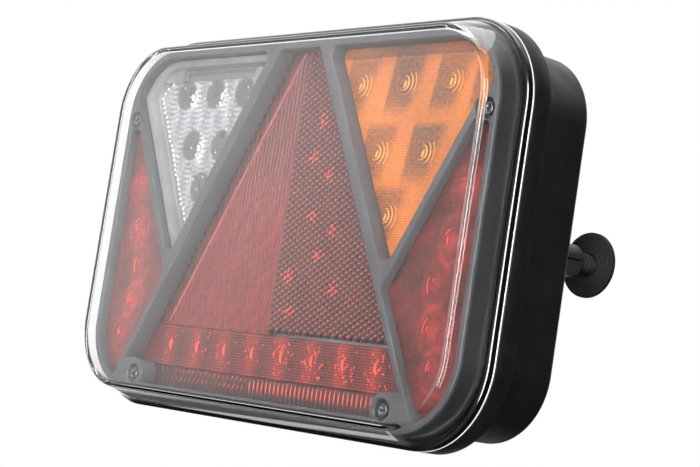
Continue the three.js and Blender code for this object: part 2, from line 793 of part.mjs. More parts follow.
// Wires from the inlet to the driver board, bundled in one sleeve
function supplyLoom() {
  const path = new THREE.CatmullRomCurve3([
    new THREE.Vector3(INLET.x, -BACK_WALL - 4.6, INLET.z),
    new THREE.Vector3(INLET.x, -BACK_WALL - 9, INLET.z + 0.5),
    new THREE.Vector3(INLET.x, -BACK_WALL - 11.5, INLET.z + 7),
    new THREE.Vector3(INLET.x, -BACK_WALL - 11.2, DRIVER.z0 - 5.5),
    new THREE.Vector3(INLET.x, -BACK_WALL - 14.5, DRIVER.z0 - 3.2),
    new THREE.Vector3(INLET.x, y(DRIVER_FRONT - 2.6), DRIVER.z0 - 3.0),
  ]);
  const section = new THREE.Shape();
  section.absarc(0, 0, LOOM_R, 0, 2 * Math.PI);
  const options = { steps: 14, curveSegments: 4, extrudePath: path, bevelEnabled: false };
  piece("supply_loom", solid(new THREE.ExtrudeGeometry(section, options)), finish.copper);
}

// Studs, sleeves, washers and nuts: one set on each side
function hexOutline(flats) {
  const points = [];
  for (let i = 0; i < 6; i += 1) {
    const angle = (i * Math.PI) / 3;
    const r = flats / 2 / Math.cos(Math.PI / 6);
    points.push(new THREE.Vector2(r * Math.cos(angle), r * Math.sin(angle)));
  }
  return points;
}

function shifted(points, x) {
  return points.map((p) => new THREE.Vector2(p.x + x, p.y));
}

function fixings(side, word) {
  const x = side * STUD_X;
  const hex = shifted(hexOutline(NUT_FLATS), x);
  const head = prism(hex, -BACK_WALL - 5.6, -BACK_WALL - GAP);
  const shank = rod(x, 0, STUD_R, -BACK_WALL - 3, STUD_END - 1, 24);
  const tip = new THREE.CylinderGeometry(STUD_R - 0.9, STUD_R, 1.1, 24);
  tip.translate(x, STUD_END - 0.55, 0);
  piece(`stud_${word}`, join(head, shank, solid(tip)), finish.blackSteel);

  const ends = [x, x + side * (SLEEVE_R + 2)].sort((a, b) => a - b);
  const slit = block(ends[0], ends[1], -1, SLEEVE_END + 1, -SLEEVE_SLIT / 2, SLEEVE_SLIT / 2);
  const sleeve = cut(
    rod(x, 0, SLEEVE_R, GAP, SLEEVE_END, 32),
    bore(x, 0, STUD_R + 0.2, -1, SLEEVE_END + 1, 20),
    slit,
  );
  piece(`spacer_sleeve_${word}`, sleeve, finish.black);

  const washer = cut(
    rod(x, 0, WASHER_R, WASHER_AT, WASHER_AT + WASHER_THICK, 40),
    bore(x, 0, STUD_R + 0.2, WASHER_AT - 1, WASHER_AT + WASHER_THICK + 1, 20),
  );
  piece(`clamp_washer_${word}`, washer, finish.rubber);

  const seat = WASHER_AT + WASHER_THICK + GAP;
  const chamfer = new THREE.CylinderGeometry(7.0, 7.8, NUT_HEIGHT, 24);
  chamfer.translate(x, seat + NUT_HEIGHT / 2, 0);
  const nut = cut(
    prism(hex, seat, seat + NUT_HEIGHT).intersect(solid(chamfer)),
    bore(x, 0, STUD_R + RUNNING, seat - 1, seat + NUT_HEIGHT + 1, 20),
  );
  piece(`clamp_nut_${word}`, nut, finish.blackSteel);
}

lensCover();
gasket();
housing();
bezel();
bezelScrews();
colouredLenses();
reverseUnit();
trianglePanels();
boards();
carrier();
driverBoard();
ventPlug();
inlet();
supplyLoom();
fixings(-1, "left");
fixings(1, "right");

export default model;
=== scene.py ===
"""Looks of the trailer tail light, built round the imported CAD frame.

The model's frame is kept: +X is right seen from the front, +Y runs from the face to the back and
+Z is up. Outlines are worked out in millimetres, and a mesh is turned into metres when it is made.
"""
import math
import random

import bmesh
import bpy
from mathutils import Matrix, Vector


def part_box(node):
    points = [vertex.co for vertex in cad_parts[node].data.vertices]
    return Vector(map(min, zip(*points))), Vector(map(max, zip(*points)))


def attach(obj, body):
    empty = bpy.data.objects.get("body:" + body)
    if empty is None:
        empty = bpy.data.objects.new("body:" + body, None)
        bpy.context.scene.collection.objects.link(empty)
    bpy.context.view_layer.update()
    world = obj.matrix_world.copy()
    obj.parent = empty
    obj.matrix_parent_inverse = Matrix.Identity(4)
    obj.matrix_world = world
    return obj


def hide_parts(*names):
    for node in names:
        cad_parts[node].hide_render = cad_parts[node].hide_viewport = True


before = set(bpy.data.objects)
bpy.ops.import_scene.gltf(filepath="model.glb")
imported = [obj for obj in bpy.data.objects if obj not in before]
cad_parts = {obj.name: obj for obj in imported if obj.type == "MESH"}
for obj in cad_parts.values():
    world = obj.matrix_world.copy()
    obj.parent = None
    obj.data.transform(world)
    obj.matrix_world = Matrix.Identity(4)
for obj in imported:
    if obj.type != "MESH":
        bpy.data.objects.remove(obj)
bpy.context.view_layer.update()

MM = 0.001
SLOPE = math.tan(math.radians(30))  # the strips and window diagonals stand at 60 degrees
DIAGONAL = math.cos(math.radians(30))  # turns a distance along x into one square to a diagonal
# the bright facets take a glowing finish: painted glints
GLINT = 1  # a lens panel's second finish, for its bright facets
SHARP = 28  # degrees between two faces, from which their edge is shown sharp
FLAT_FROM = 12  # faces with more corners than this are shown flat
SAME_SPOT = 1e-4  # points nearer than this are one point
AXIS_R = 0.001  # radius that stands for the axis of a turned body


def box_mm(node):
    low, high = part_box(node)
    return low / MM, high / MM


def middle(low, high):
    """The x and z in the middle of a box."""
    return (low.x + high.x) / 2, (low.z + high.z) / 2


# Outline of the lamp, insets from it, and depths behind its face (_AT and _END), in millimetres
COVER_LOW, COVER_HIGH = box_mm("lens_cover")
BEZEL_LOW, BEZEL_HIGH = box_mm("bezel_frame")
WIDTH = COVER_HIGH.x - COVER_LOW.x
HEIGHT = COVER_HIGH.z - COVER_LOW.z
FACE_Y = COVER_LOW.y
COVER_BACK = COVER_HIGH.y - FACE_Y
CORNER_R = 33.8
CORNER_STEPS = 26

FACE_INSET = 5.6
COVER_EDGE_R = 2.0
COVER_INNER_R = 0.6
COVER_WALL = 2.5
COVER_FACE_WALL = 2.6
FLANGE_AT = 15.2
BEZEL_AT = BEZEL_LOW.y - FACE_Y
BEZEL_END = BEZEL_HIGH.y - FACE_Y
PLATE_END = 15.0
BEZEL_INSET = 6.6
SKIRT = 2.0
PANEL_AT = 15.3
PANEL_END = 17.4
AMBER_AT = 13.3
TAIL_AT = 10.9
PATCH_AT = 14.4
PATCH_END = 15.9

# The windows in the bezel. Strips and diagonals are given where they cross z = 0
FIELD_INSET = 9.5
STRIP_INNER = 52.1
STRIP_OUTER = 58.35
UPPER_OUTER = 78.5
TAIL_UPPER = 82.0
TAIL_LOWER = 55.5
TAIL_TOP = 38.4
BRAKE_TOP = -43.5
BRAKE_BOTTOM = -60.8
PANEL_SPLIT = -4.0
PLAY = 0.3
UNDERLAP = 1.2
FIELD_TOP = HEIGHT / 2 - FIELD_INSET

SIDE_SCREW = (108.0, 42.6)
FOOT_SCREW = (79.3, -66.0)
FOOT_PAD_R = 6.6
RECESS_R = 3.9
SCREWS = {
    "top_left": (-SIDE_SCREW[0], SIDE_SCREW[1]),
    "top_right": SIDE_SCREW,
    "bottom_left": (-FOOT_SCREW[0], FOOT_SCREW[1]),
    "bottom_right": FOOT_SCREW,
}


def at_depth(depth):
    """The y of a depth behind the lamp's face."""
    return FACE_Y + depth


# ---------------------------------------------------------------- camera, stage and light


def camera():
    """A long lens from the right, a little below the middle, tilted so that the lamp leans back."""
    place = Vector((0.5732, -0.4846, -0.0678))
    azimuth, elevation, roll = (math.radians(a) for a in (50.27, 5.435, 8.71))
    ahead = Vector(
        (
            -math.sin(azimuth) * math.cos(elevation),
            math.cos(azimuth) * math.cos(elevation),
            math.sin(elevation),
        )
    )
    level = Vector((math.cos(azimuth), math.sin(azimuth), 0))
    over = level.cross(ahead)
    right = level * math.cos(roll) + over * math.sin(roll)
    up = right.cross(ahead)
    data = bpy.data.cameras.new("camera")
    data.lens = 95.6
    data.sensor_width = 36.0
    data.shift_x, data.shift_y = -0.0029, -0.0022
    data.clip_start, data.clip_end = 0.01, 100
    made = bpy.data.objects.new("camera", data)
    turn = Matrix((right, up, -ahead)).transposed().to_4x4()
    made.matrix_world = Matrix.Translation(place) @ turn
    bpy.context.scene.collection.objects.link(made)
    bpy.context.scene.camera = made


def area_light(name, place, size, power, reflections_only=False):
    """A rectangular lamp that points at the model's origin."""
    data = bpy.data.lights.new(name, "AREA")
    data.shape = "RECTANGLE"
    data.size, data.size_y = size
    data.energy = power
    lamp = bpy.data.objects.new(name, data)
    lamp.location = place
    aim = Vector((0, 0, 0)) - Vector(place)
    lamp.rotation_euler = aim.to_track_quat("-Z", "Y").to_euler()
    lamp.visible_camera = False
    lamp.visible_diffuse = not reflections_only
    bpy.context.scene.collection.objects.link(lamp)


def studio():
    """A white cove on the left and behind, a dark room on the right, and soft boxes."""
    area_light("top_box", (-0.1, -0.15, 0.9), (0.9, 0.7), 6.5)
    area_light("front_box", (-0.35, -1.1, 0.35), (0.5, 0.5), 2.6)
    area_light("edge_strip", (1.1, -0.35, 0.15), (0.06, 0.9), 1.6)
    area_light("front_strip", (0.98, -1.16, 0.0), (0.5, 1.7), 50, reflections_only=True)

    world = bpy.data.worlds.new("studio")
    bpy.context.scene.world = world
    world.use_nodes = True
    tree = world.node_tree
    tree.nodes.clear()
    where = node(tree, "TexCoord").outputs["Generated"]
    across, depth, height = node(tree, "SeparateXYZ", Vector=where).outputs
    # the cove's middle lies 26 degrees behind the left, and the cove widens upwards
    toward = math.radians(26)
    facing = added(
        tree,
        maths(tree, "MULTIPLY", across, -math.cos(toward)),
        maths(tree, "MULTIPLY", depth, math.sin(toward)),
        maths(tree, "MULTIPLY", height, 0.6),
    )
    # it fades overhead and towards the floor, with one bright gap low down
    above = smooth_range(tree, height, 0.55, 0.8, 1.0, 0.3)
    below = smooth_range(tree, height, -0.26, -0.17, 0.12, 1.0)
    from_gap = maths(tree, "ABSOLUTE", maths(tree, "ADD", height, 0.37))
    gap = smooth_range(tree, from_gap, 0.02, 0.035, 0.9, 0.0)
    band = added(tree, maths(tree, "MULTIPLY", above, below), gap)
    cove = maths(tree, "MULTIPLY", smooth_range(tree, facing, 0.38, 0.57, 0.03, 1.06), band)
    sky = smooth_range(tree, height, 0.55, 0.95, 0.0, 0.5)
    front = smooth_range(tree, depth, -0.66, -0.45, 0.24, 0.0)
    # the camera sees plain white; the studio is there for light and reflections
    around = node(tree, "Background", Color=(1, 1, 1), Strength=added(tree, cove, sky, front))
    backdrop = node(tree, "Background", Color=(1, 1, 1), Strength=1.0)
    seen = node(tree, "LightPath").outputs["Is Camera Ray"]
    finish(tree, mixed_shader(tree, seen, around.outputs[0], backdrop.outputs[0]), "OutputWorld")
    bpy.context.scene.view_settings.view_transform = "Standard"


def floor():
    """A pale floor well under the lamp, which hangs on its studs."""
    radius, drop, sides = 3.0, 0.45, 96
    shape = bmesh.new()
    shape.faces.new([shape.verts.new((x, y, -drop)) for x, y in circle(0, 0, radius, sides)])
    data = bpy.data.meshes.new("floor")
    shape.to_mesh(data)
    shape.free()
    made = bpy.data.objects.new("floor", data)
    bpy.context.scene.collection.objects.link(made)
    paint, tree = new_material("floor_paint")
    tone = ramp(tree, noise(tree, 6), [(0.3, (0.8, 0.8, 0.79)), (0.7, (0.84, 0.84, 0.83))])
    surface(tree, Base_Color=tone, Roughness=0.8, Specular_IOR_Level=0.0)
    data.materials.append(paint)
    made.visible_glossy = False
    made.visible_transmission = False


# ---------------------------------------------------------------- node helpers


def node(tree, kind, **inputs):
    made = tree.nodes.new("ShaderNode" + kind)
    for name, value in inputs.items():
        feed(tree, made.inputs[name.replace("_", " ")], value)
    return made


def feed(tree, socket, value):
    if isinstance(value, bpy.types.NodeSocket):
        tree.links.new(value, socket)
    elif socket.type == "RGBA" and len(value) == 3:
        socket.default_value = (*value, 1)
    else:
        socket.default_value = value


def maths(tree, operation, first, second=0.0):
    made = tree.nodes.new("ShaderNodeMath")
    made.operation = operation
    feed(tree, made.inputs[0], first)
    feed(tree, made.inputs[1], second)
    return made.outputs[0]


def added(tree, *values):
    total = values[0]
    for value in values[1:]:
        total = maths(tree, "ADD", total, value)
    return total


def smooth_range(tree, value, low, high, to_low, to_high, kind="SMOOTHSTEP"):
    made = tree.nodes.new("ShaderNodeMapRange")
    made.interpolation_type = kind
    feed(tree, made.inputs["Value"], value)
    made.inputs["From Min"].default_value = low
    made.inputs["From Max"].default_value = high
    made.inputs["To Min"].default_value = to_low
    made.inputs["To Max"].default_value = to_high
    return made.outputs["Result"]


def uneven(tree, pattern, low, high):
    """A roughness that runs from low to high with a pattern."""
    return smooth_range(tree, pattern, 0.3, 0.7, low, high, "LINEAR")


def new_material(name):
    made = bpy.data.materials.new(name)
    made.use_nodes = True
    made.node_tree.nodes.clear()
    return made, made.node_tree


def noise(tree, scale, detail=3.0, stretch=(1, 1, 1)):
    """Noise in the object's own space; scale is in features per metre."""
    where = node(tree, "TexCoord").outputs["Object"]
    if stretch != (1, 1, 1):
        where = node(tree, "Mapping", Vector=where, Scale=stretch).outputs[0]
    return node(tree, "TexNoise", Vector=where, Scale=scale, Detail=detail).outputs["Fac"]


def ramp(tree, factor, stops):
    made = node(tree, "ValToRGB", Fac=factor)
    elements = made.color_ramp.elements
    while len(elements) < len(stops):
        elements.new(1.0)
    for element, (place, colour) in zip(elements, stops):
        element.position = place
        element.color = (*colour, 1)
    return made.outputs["Color"]


def mix_colour(tree, factor, first, second):
    made = tree.nodes.new("ShaderNodeMix")
    made.data_type = "RGBA"
    feed(tree, made.inputs[0], factor)
    feed(tree, made.inputs[6], first)
    feed(tree, made.inputs[7], second)
    return made.outputs[2]


def bump(tree, height, strength, distance):
    made = node(tree, "Bump", Height=height, Strength=strength, Distance=distance)
    return made.outputs["Normal"]


def principled(tree, **inputs):
    return node(tree, "BsdfPrincipled", **inputs).outputs["BSDF"]


def mixed_shader(tree, factor, first, second):
    made = node(tree, "MixShader", Fac=factor)
    tree.links.new(first, made.inputs[1])
    tree.links.new(second, made.inputs[2])
    return made.outputs[0]


def finish(tree, shader, kind="OutputMaterial"):
    tree.links.new(shader, node(tree, kind).inputs["Surface"])


def surface(tree, **inputs):
    """Finishes a material with one principled shader."""
    finish(tree, principled(tree, **inputs))


def attribute(tree, name):
    made = tree.nodes.new("ShaderNodeAttribute")
    made.attribute_name = name
    return made.outputs["Fac"]


# ---------------------------------------------------------------- materials


def moulded(
    name, dark, light, rough, grain=1600, depth=0.00004, coat=0.0, metal=0.0, patch=45, glow=0.0
):
    """Moulded or coated surface: close tones in soft patches, a fine grain, uneven gloss. A glow
    above zero makes it shine by itself, a painted highlight.
    """
    made, tree = new_material(name)
    surface(
        tree,
        Base_Color=ramp(tree, noise(tree, patch), [(0.35, dark), (0.65, light)]),
        Roughness=uneven(tree, noise(tree, patch * 3), *rough),
        Metallic=metal,
        Coat_Weight=coat,
        Coat_Roughness=0.12,
        Emission_Color=(1, 1, 1),
        Emission_Strength=glow,
        Normal=bump(tree, noise(tree, grain, 2.0), 0.6, depth),
    )
    return made


def brushed_steel(name, dark, light, rough, stretch):
    made, tree = new_material(name)
    lines = noise(tree, 900, 4.0, stretch)
    surface(
        tree,
        Base_Color=ramp(tree, lines, [(0.3, dark), (0.7, light)]),
        Roughness=uneven(tree, lines, *rough),
        Metallic=1.0,
        Normal=bump(tree, lines, 0.3, 0.00003),
    )
    return made


def clear_acrylic():
    """Clear cover: real glass to the eye, with lamps let through to what is behind it."""
    made, tree = new_material("clear_acrylic")
    smears = smooth_range(tree, noise(tree, 22, 4.0), 0.35, 0.75, 0.0, 0.03, "LINEAR")
    glass = principled(
        tree, Base_Color=(0.985, 0.99, 0.995), Roughness=smears, IOR=1.49, Transmission_Weight=1.0
    )
    clear = node(tree, "BsdfTransparent", Color=(0.93, 0.94, 0.95)).outputs[0]
    shadow = node(tree, "LightPath").outputs["Is Shadow Ray"]
    finish(tree, mixed_shader(tree, shadow, glass, clear))
    return made


def toned_lens(name, dark, middling, light, rough, coat):
    """Coloured lens with its reflectors' light and shade painted in: the tone painted on the mesh,
    with painted highlights and painted shade, picks the colour.
    """
    made, tree = new_material(name)
    speck = noise(tree, 700, 2.0)
    tone = added(tree, attribute(tree, "tone"), smooth_range(tree, speck, 0.3, 0.7, -0.1, 0.1))
    surface(
        tree,
        Base_Color=ramp(tree, tone, [(0.05, dark), (0.5, middling), (0.95, light)]),
        Roughness=uneven(tree, noise(tree, 160), rough - 0.06, rough + 0.08),
        Coat_Weight=coat,
        Coat_Roughness=0.08,
        Normal=bump(tree, speck, 0.25, 0.00006),
    )
    return made


def glint(name, colour, glow):
    """Painted glint: a facet painted bright and made to glow, a painted highlight for light thrown
    back at the eye.
    """
    made, tree = new_material(name)
    dimmer = tuple(0.82 * c for c in colour)
    surface(
        tree,
        Base_Color=ramp(tree, noise(tree, 400), [(0.3, dimmer), (0.7, colour)]),
        Roughness=0.55,
        Emission_Color=colour,
        Emission_Strength=glow,
    )
    return made


def woven_sleeve():
    """Braided loom sleeve: two crossing helices of yarn."""
    made, tree = new_material("loom_braid")
    where = node(tree, "TexCoord").outputs["Object"]
    waves = []
    for lean in (45, -45):
        turn = (0, math.radians(lean), 0)
        turned = node(tree, "Mapping", Vector=where, Rotation=turn).outputs[0]
        waves.append(node(tree, "TexWave", Vector=turned, Scale=420).outputs["Fac"])
    weave = maths(tree, "MAXIMUM", *waves)
    surface(
        tree,
        Base_Color=ramp(tree, weave, [(0.3, (0.05, 0.008, 0.006)), (0.9, (0.38, 0.05, 0.03))]),
        Roughness=0.8,
        Normal=bump(tree, weave, 0.7, 0.0002),
    )
    return made


def circuit_board(name, mask, track, pad):
    """Solder mask over tracks, with a few bare pads."""
    made, tree = new_material(name)
    where = node(tree, "TexCoord").outputs["Object"]
    cells = node(tree, "TexVoronoi", Vector=where, Scale=260)
    cells.distance = "CHEBYCHEV"
    away = cells.outputs["Distance"]
    lines = ramp(tree, away, [(0.42, track), (0.5, mask)])
    surface(
        tree,
        Base_Color=mix_colour(tree, smooth_range(tree, away, 0.06, 0.09, 1.0, 0.0), lines, pad),
        Roughness=uneven(tree, noise(tree, 200), 0.35, 0.5),
        Coat_Weight=0.4,
        Normal=bump(tree, away, 0.3, 0.00005),
    )
    return made


LOOKS = {
    "clear": clear_acrylic(),
    # the bead is painted near-white and made to glow: a painted highlight along the cover's back
    # edge
    "weld": moulded(
        "weld_bead_painted_highlight", (0.86, 0.87, 0.89), (0.95, 0.95, 0.96), (0.1, 0.25), coat=1.0, glow=0.7
    ),
    # near-black band on the clear cover's flange: painted shade of the groove between cover and
    # housing
    "channel": moulded(
        "channel_painted_shade", (0.006, 0.006, 0.007), (0.01, 0.01, 0.012), (0.12, 0.2), coat=1.0
    ),
    "charcoal": moulded(
        "charcoal_satin", (0.056, 0.056, 0.06), (0.07, 0.07, 0.074), (0.42, 0.56), 2600, 0.000004
    ),
    # darker copy of the charcoal for the bezel's skirt: painted shade on the side of the same
    # moulding
    "side": moulded(
        "charcoal_side_painted_shade", (0.02, 0.02, 0.022), (0.028, 0.028, 0.03), (0.3, 0.4), coat=0.5
    ),
    "black": moulded(
        "black_satin", (0.011, 0.0105, 0.0115), (0.015, 0.0145, 0.0155), (0.36, 0.5)
    ),
    "sleeve": moulded(
        "sleeve_satin", (0.04, 0.04, 0.042), (0.055, 0.055, 0.058), (0.32, 0.45)
    ),
    "rubber": moulded(
        "rubber_matt", (0.008, 0.008, 0.008), (0.014, 0.014, 0.014), (0.75, 0.9), 2600
    ),
    "coated": moulded(
        "washer_coating", (0.004, 0.004, 0.004), (0.007, 0.007, 0.007), (0.6, 0.8), 2200
    ),
    "black_steel": moulded(
        "black_steel",
        (0.005, 0.005, 0.006),
        (0.011, 0.011, 0.012),
        (0.6, 0.75),
        1200,
        metal=0.4,
        patch=300,
    ),
    "silver": moulded(
        "metallised", (0.15, 0.15, 0.155), (0.24, 0.24, 0.245), (0.34, 0.46), 900, 0.00002, 0.3
    ),
    "carrier": moulded("carrier_grey", (0.33, 0.34, 0.35), (0.42, 0.43, 0.44), (0.45, 0.6)),
    "zinc": brushed_steel(
        "zinc_plate", (0.1, 0.1, 0.105), (0.24, 0.24, 0.25), (0.26, 0.4), (1, 1, 6)
    ),
    "brass": brushed_steel(
        "plated_brass", (0.55, 0.38, 0.12), (0.85, 0.66, 0.3), (0.2, 0.35), (4, 1, 4)
    ),
    "amber": toned_lens(
        "amber_acrylic", (0.07, 0.042, 0.032), (0.38, 0.11, 0.022), (0.66, 0.19, 0.025), 0.36, 0.2
    ),
    "red": toned_lens(
        "red_acrylic", (0.04, 0.014, 0.012), (0.17, 0.024, 0.02), (0.45, 0.04, 0.03), 0.4, 0.2
    ),
    "reflex": toned_lens(
        "reflex_acrylic", (0.05, 0.022, 0.02), (0.1, 0.028, 0.022), (0.5, 0.05, 0.04), 0.4, 0.2
    ),
    "pillow": toned_lens(
        "pillow_clear", (0.07, 0.07, 0.075), (0.26, 0.26, 0.27), (0.62, 0.62, 0.63), 0.3, 0.4
    ),
    # glowing glint finishes: painted highlights on the lens panels
    "amber_glint": glint("amber_glint", (0.95, 0.36, 0.06), 0.25),
    "red_glint": glint("red_glint", (0.88, 0.07, 0.022), 0.58),
    "red_line_painted_glint": glint("red_line_painted_glint", (0.5, 0.12, 0.1), 0.12),
    "white_glint": glint("white_glint", (0.9, 0.9, 0.9), 0.3),
    "board": circuit_board(
        "led_board_mask", (0.8, 0.79, 0.75), (0.7, 0.69, 0.64), (0.8, 0.62, 0.3)
    ),
    "driver": circuit_board(
        "driver_mask", (0.02, 0.16, 0.06), (0.03, 0.24, 0.09), (0.7, 0.55, 0.28)
    ),
    "braid": woven_sleeve(),
}


# ---------------------------------------------------------------- outlines, in x and z


def rounded(width, height, radius, steps=CORNER_STEPS):
    points = []
    for sx, sz, start in ((1, 1, 0), (-1, 1, 90), (-1, -1, 180), (1, -1, 270)):
        cx, cz = sx * (width / 2 - radius), sz * (height / 2 - radius)
        for i in range(steps + 1):
            angle = math.radians(start + 90 * i / steps)
            points.append((cx + radius * math.cos(angle), cz + radius * math.sin(angle)))
    return points


def lamp_outline(inset):
    return rounded(WIDTH - 2 * inset, HEIGHT - 2 * inset, CORNER_R - inset)


def quarter(steps):
    """The turns of a quarter circle, with both ends."""
    return [math.radians(90 * i / steps) for i in range(steps + 1)]


def circle(x, z, radius, steps=48):
    angles = [2 * math.pi * i / steps for i in range(steps)]
    return [(x + radius * math.cos(a), z + radius * math.sin(a)) for a in angles]


def keep_side(points, a, b, c):
    """The part of a convex outline where a*x + b*z <= c."""
    kept = []
    for i, here in enumerate(points):
        there = points[(i + 1) % len(points)]
        at_here = a * here[0] + b * here[1] - c
        at_there = a * there[0] + b * there[1] - c
        if at_here <= 0:
            kept.append(here)
        if at_here * at_there < 0:
            share = at_here / (at_here - at_there)
            kept.append(tuple(h + share * (t - h) for h, t in zip(here, there)))
    return kept


def corner_round(points, near, radius):
    """Rounds the corner of an anticlockwise outline that lies nearest to a point."""
    i = min(range(len(points)), key=lambda k: math.dist(points[k], near))
    corner = Vector(points[i])
    before = (Vector(points[i - 1]) - corner).normalized()
    after = (Vector(points[(i + 1) % len(points)]) - corner).normalized()
    half = before.angle(after) / 2
    centre = corner + (before + after).normalized() * radius / math.sin(half)
    start = corner + before * radius / math.tan(half) - centre
    end = corner + after * radius / math.tan(half) - centre
    sweep = math.atan2(start.x * end.y - start.y * end.x, start.dot(end))
    steps = 10
    arc = []
    for step in range(steps + 1):
        turned = Matrix.Rotation(sweep * step / steps, 2) @ start
        arc.append(tuple(centre + turned))
    return points[:i] + arc + points[i + 1 :]


def mirrored(points):
    return [(-x, z) for x, z in reversed(points)]


def strip_x(z, past=0.0):
    """Where the right strip's inner edge stands at a height, or a little past it."""
    return STRIP_INNER + past - SLOPE * z


def upper_window(side, play=0.0):
    reach = play / DIAGONAL
    points = lamp_outline(FIELD_INSET + play)
    points = keep_side(points, -1, -SLOPE, -(STRIP_OUTER + reach))
    points = keep_side(points, 1, -SLOPE, UPPER_OUTER - reach)
    top = FIELD_TOP - play
    apex_z = (STRIP_OUTER - UPPER_OUTER + 2 * reach) / (2 * SLOPE)
    apex_x = STRIP_OUTER + reach - SLOPE * apex_z
    points = corner_round(points, (STRIP_OUTER + reach - SLOPE * top, top), max(3.0 - play, 0.3))
    points = corner_round(points, (apex_x, apex_z), max(4.5 - play, 0.3))
    return points if side > 0 else mirrored(points)


def tail_window(side, play=0.0):
    reach = play / DIAGONAL
    points = lamp_outline(FIELD_INSET + play)
    points = keep_side(points, -1, -SLOPE, -(TAIL_LOWER + reach))
    points = keep_side(points, -1, SLOPE, -(TAIL_UPPER + reach))
    points = keep_side(points, 0, 1, TAIL_TOP - play)
    apex_z = (TAIL_LOWER - TAIL_UPPER) / (2 * SLOPE)
    apex_x = TAIL_LOWER + reach - SLOPE * apex_z
    points = corner_round(points, (apex_x, apex_z), 1.5)
    edge = WIDTH / 2 - FIELD_INSET - play
    points = corner_round(points, (edge, TAIL_TOP - play), 3.0)
    points = corner_round(points, (TAIL_UPPER + SLOPE * TAIL_TOP, TAIL_TOP - play), 2.2)
    return points if side > 0 else mirrored(points)


def triangle_window():
    """The triangle's opening, stepped in round the two foot screws."""
    x, z = FOOT_SCREW
    steps = 12
    start = math.pi - math.asin((-FIELD_TOP - z) / FOOT_PAD_R)
    right = []
    for i in range(steps + 1):
        angle = start + (math.pi / 2 - start) * i / steps
        right.append((x + FOOT_PAD_R * math.cos(angle), z + FOOT_PAD_R * math.sin(angle)))
    right += [(strip_x(level), level) for level in (z + FOOT_PAD_R, FIELD_TOP)]
    return right + mirrored(right)


# ---------------------------------------------------------------- mesh helpers


def mesh_piece(name, shape, finishes, angle=SHARP, body="lamp"):
    """Turns a bmesh in millimetres into a piece that rides on a body."""
    bmesh.ops.remove_doubles(shape, verts=shape.verts, dist=SAME_SPOT)
    bmesh.ops.recalc_face_normals(shape, faces=shape.faces)
    bmesh.ops.scale(shape, vec=(MM, MM, MM), verts=shape.verts)
    data = bpy.data.meshes.new(name)
    shape.to_mesh(data)
    shape.free()
    made = bpy.data.objects.new(name, data)
    bpy.context.scene.collection.objects.link(made)
    for look in finishes:
        data.materials.append(LOOKS[look])
    flat = [p.index for p in data.polygons if len(p.vertices) > FLAT_FROM]
    data.shade_smooth()
    data.set_sharp_from_angle(angle=math.radians(angle))
    for i in flat:
        data.polygons[i].use_smooth = False
    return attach(made, body)


def stand_in(node_name, name, shape, finishes, angle=SHARP, body="lamp"):
    """Makes a piece that is shown in a CAD part's place."""
    made = mesh_piece(name, shape, finishes, angle, body)
    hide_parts(node_name)
    return made


def loft_rings(shape, sections):
    """Lamp outlines given as (depth, inset), front first, for a skin to run through."""
    rings = []
    for depth, inset in sections:
        rings.append([shape.verts.new((x, at_depth(depth), z)) for x, z in lamp_outline(inset)])
    return rings


def add_rings(shape, rings, caps=False, closed=False):
    """Adds the skin through rings of points, with or without its ends, or closed on itself."""
    count = len(rings[0])
    last = len(rings) if closed else len(rings) - 1
    for r in range(last):
        one, two = rings[r], rings[(r + 1) % len(rings)]
        for i in range(count):
            j = (i + 1) % count
            shape.faces.new((one[i], one[j], two[j], two[i]))
    if caps:
        shape.faces.new(rings[0])
        shape.faces.new(list(reversed(rings[-1])))


def mark(shape, first, last, material):
    """Gives a run of faces a material."""
    shape.faces.ensure_lookup_table()
    for face in shape.faces[first:last]:
        face.material_index = material


def add_lathe(shape, x, z, profile, sides=48, closed=False):
    """Adds a body turned about a line along Y; the profile is (radius, y), closed on the axis."""
    rings = []
    for radius, y in profile:
        rings.append([shape.verts.new((px, y, pz)) for px, pz in circle(x, z, radius, sides)])
    add_rings(shape, rings, not closed, closed)


def add_prism(shape, outline, front, back, material=0):
    rings = [[shape.verts.new((x, y, z)) for x, z in outline] for y in (front, back)]
    before = len(shape.faces)
    add_rings(shape, rings, caps=True)
    mark(shape, before, None, material)


def plate(outlines, front, back, edge, steps=2):
    """A flat plate with holes and rounded edges: the first outline is its rim, the rest holes."""
    curve = bpy.data.curves.new("plate", "CURVE")
    curve.dimensions = "2D"
    curve.fill_mode = "BOTH"
    for outline in outlines:
        spline = curve.splines.new("POLY")
        spline.points.add(len(outline) - 1)
        for point, (x, z) in zip(spline.points, outline):
            point.co = (x, z, 0, 1)
        spline.use_cyclic_u = True
    curve.extrude = (back - front) / 2 - edge
    curve.bevel_depth = edge
    curve.bevel_resolution = steps
    curve.offset = -edge
    holder = bpy.data.objects.new("plate", curve)
    bpy.context.scene.collection.objects.link(holder)
    bpy.context.view_layer.update()
    graph = bpy.context.evaluated_depsgraph_get()
    data = bpy.data.meshes.new_from_object(holder.evaluated_get(graph))
    shape = bmesh.new()
    shape.from_mesh(data)
    turn = Matrix.Translation((0, (front + back) / 2, 0)) @ Matrix.Rotation(math.pi / 2, 4, "X")
    bmesh.ops.transform(shape, matrix=turn, verts=shape.verts)
    bmesh.ops.remove_doubles(shape, verts=shape.verts, dist=SAME_SPOT)
    bpy.data.objects.remove(holder)
    bpy.data.curves.remove(curve)
    bpy.data.meshes.remove(data)
    return shape


def span(outline, level, axis):
    """Where an outline starts and ends: along x at a height (axis 0), or along z at an x (1)."""
    hits = []
    for i, here in enumerate(outline):
        there = outline[(i + 1) % len(outline)]
        low, high = here[1 - axis] - level, there[1 - axis] - level
        if low * high <= 0 and low != high:
            share = low / (low - high)
            hits.append(here[axis] + share * (there[axis] - here[axis]))
    return min(hits), max(hits)


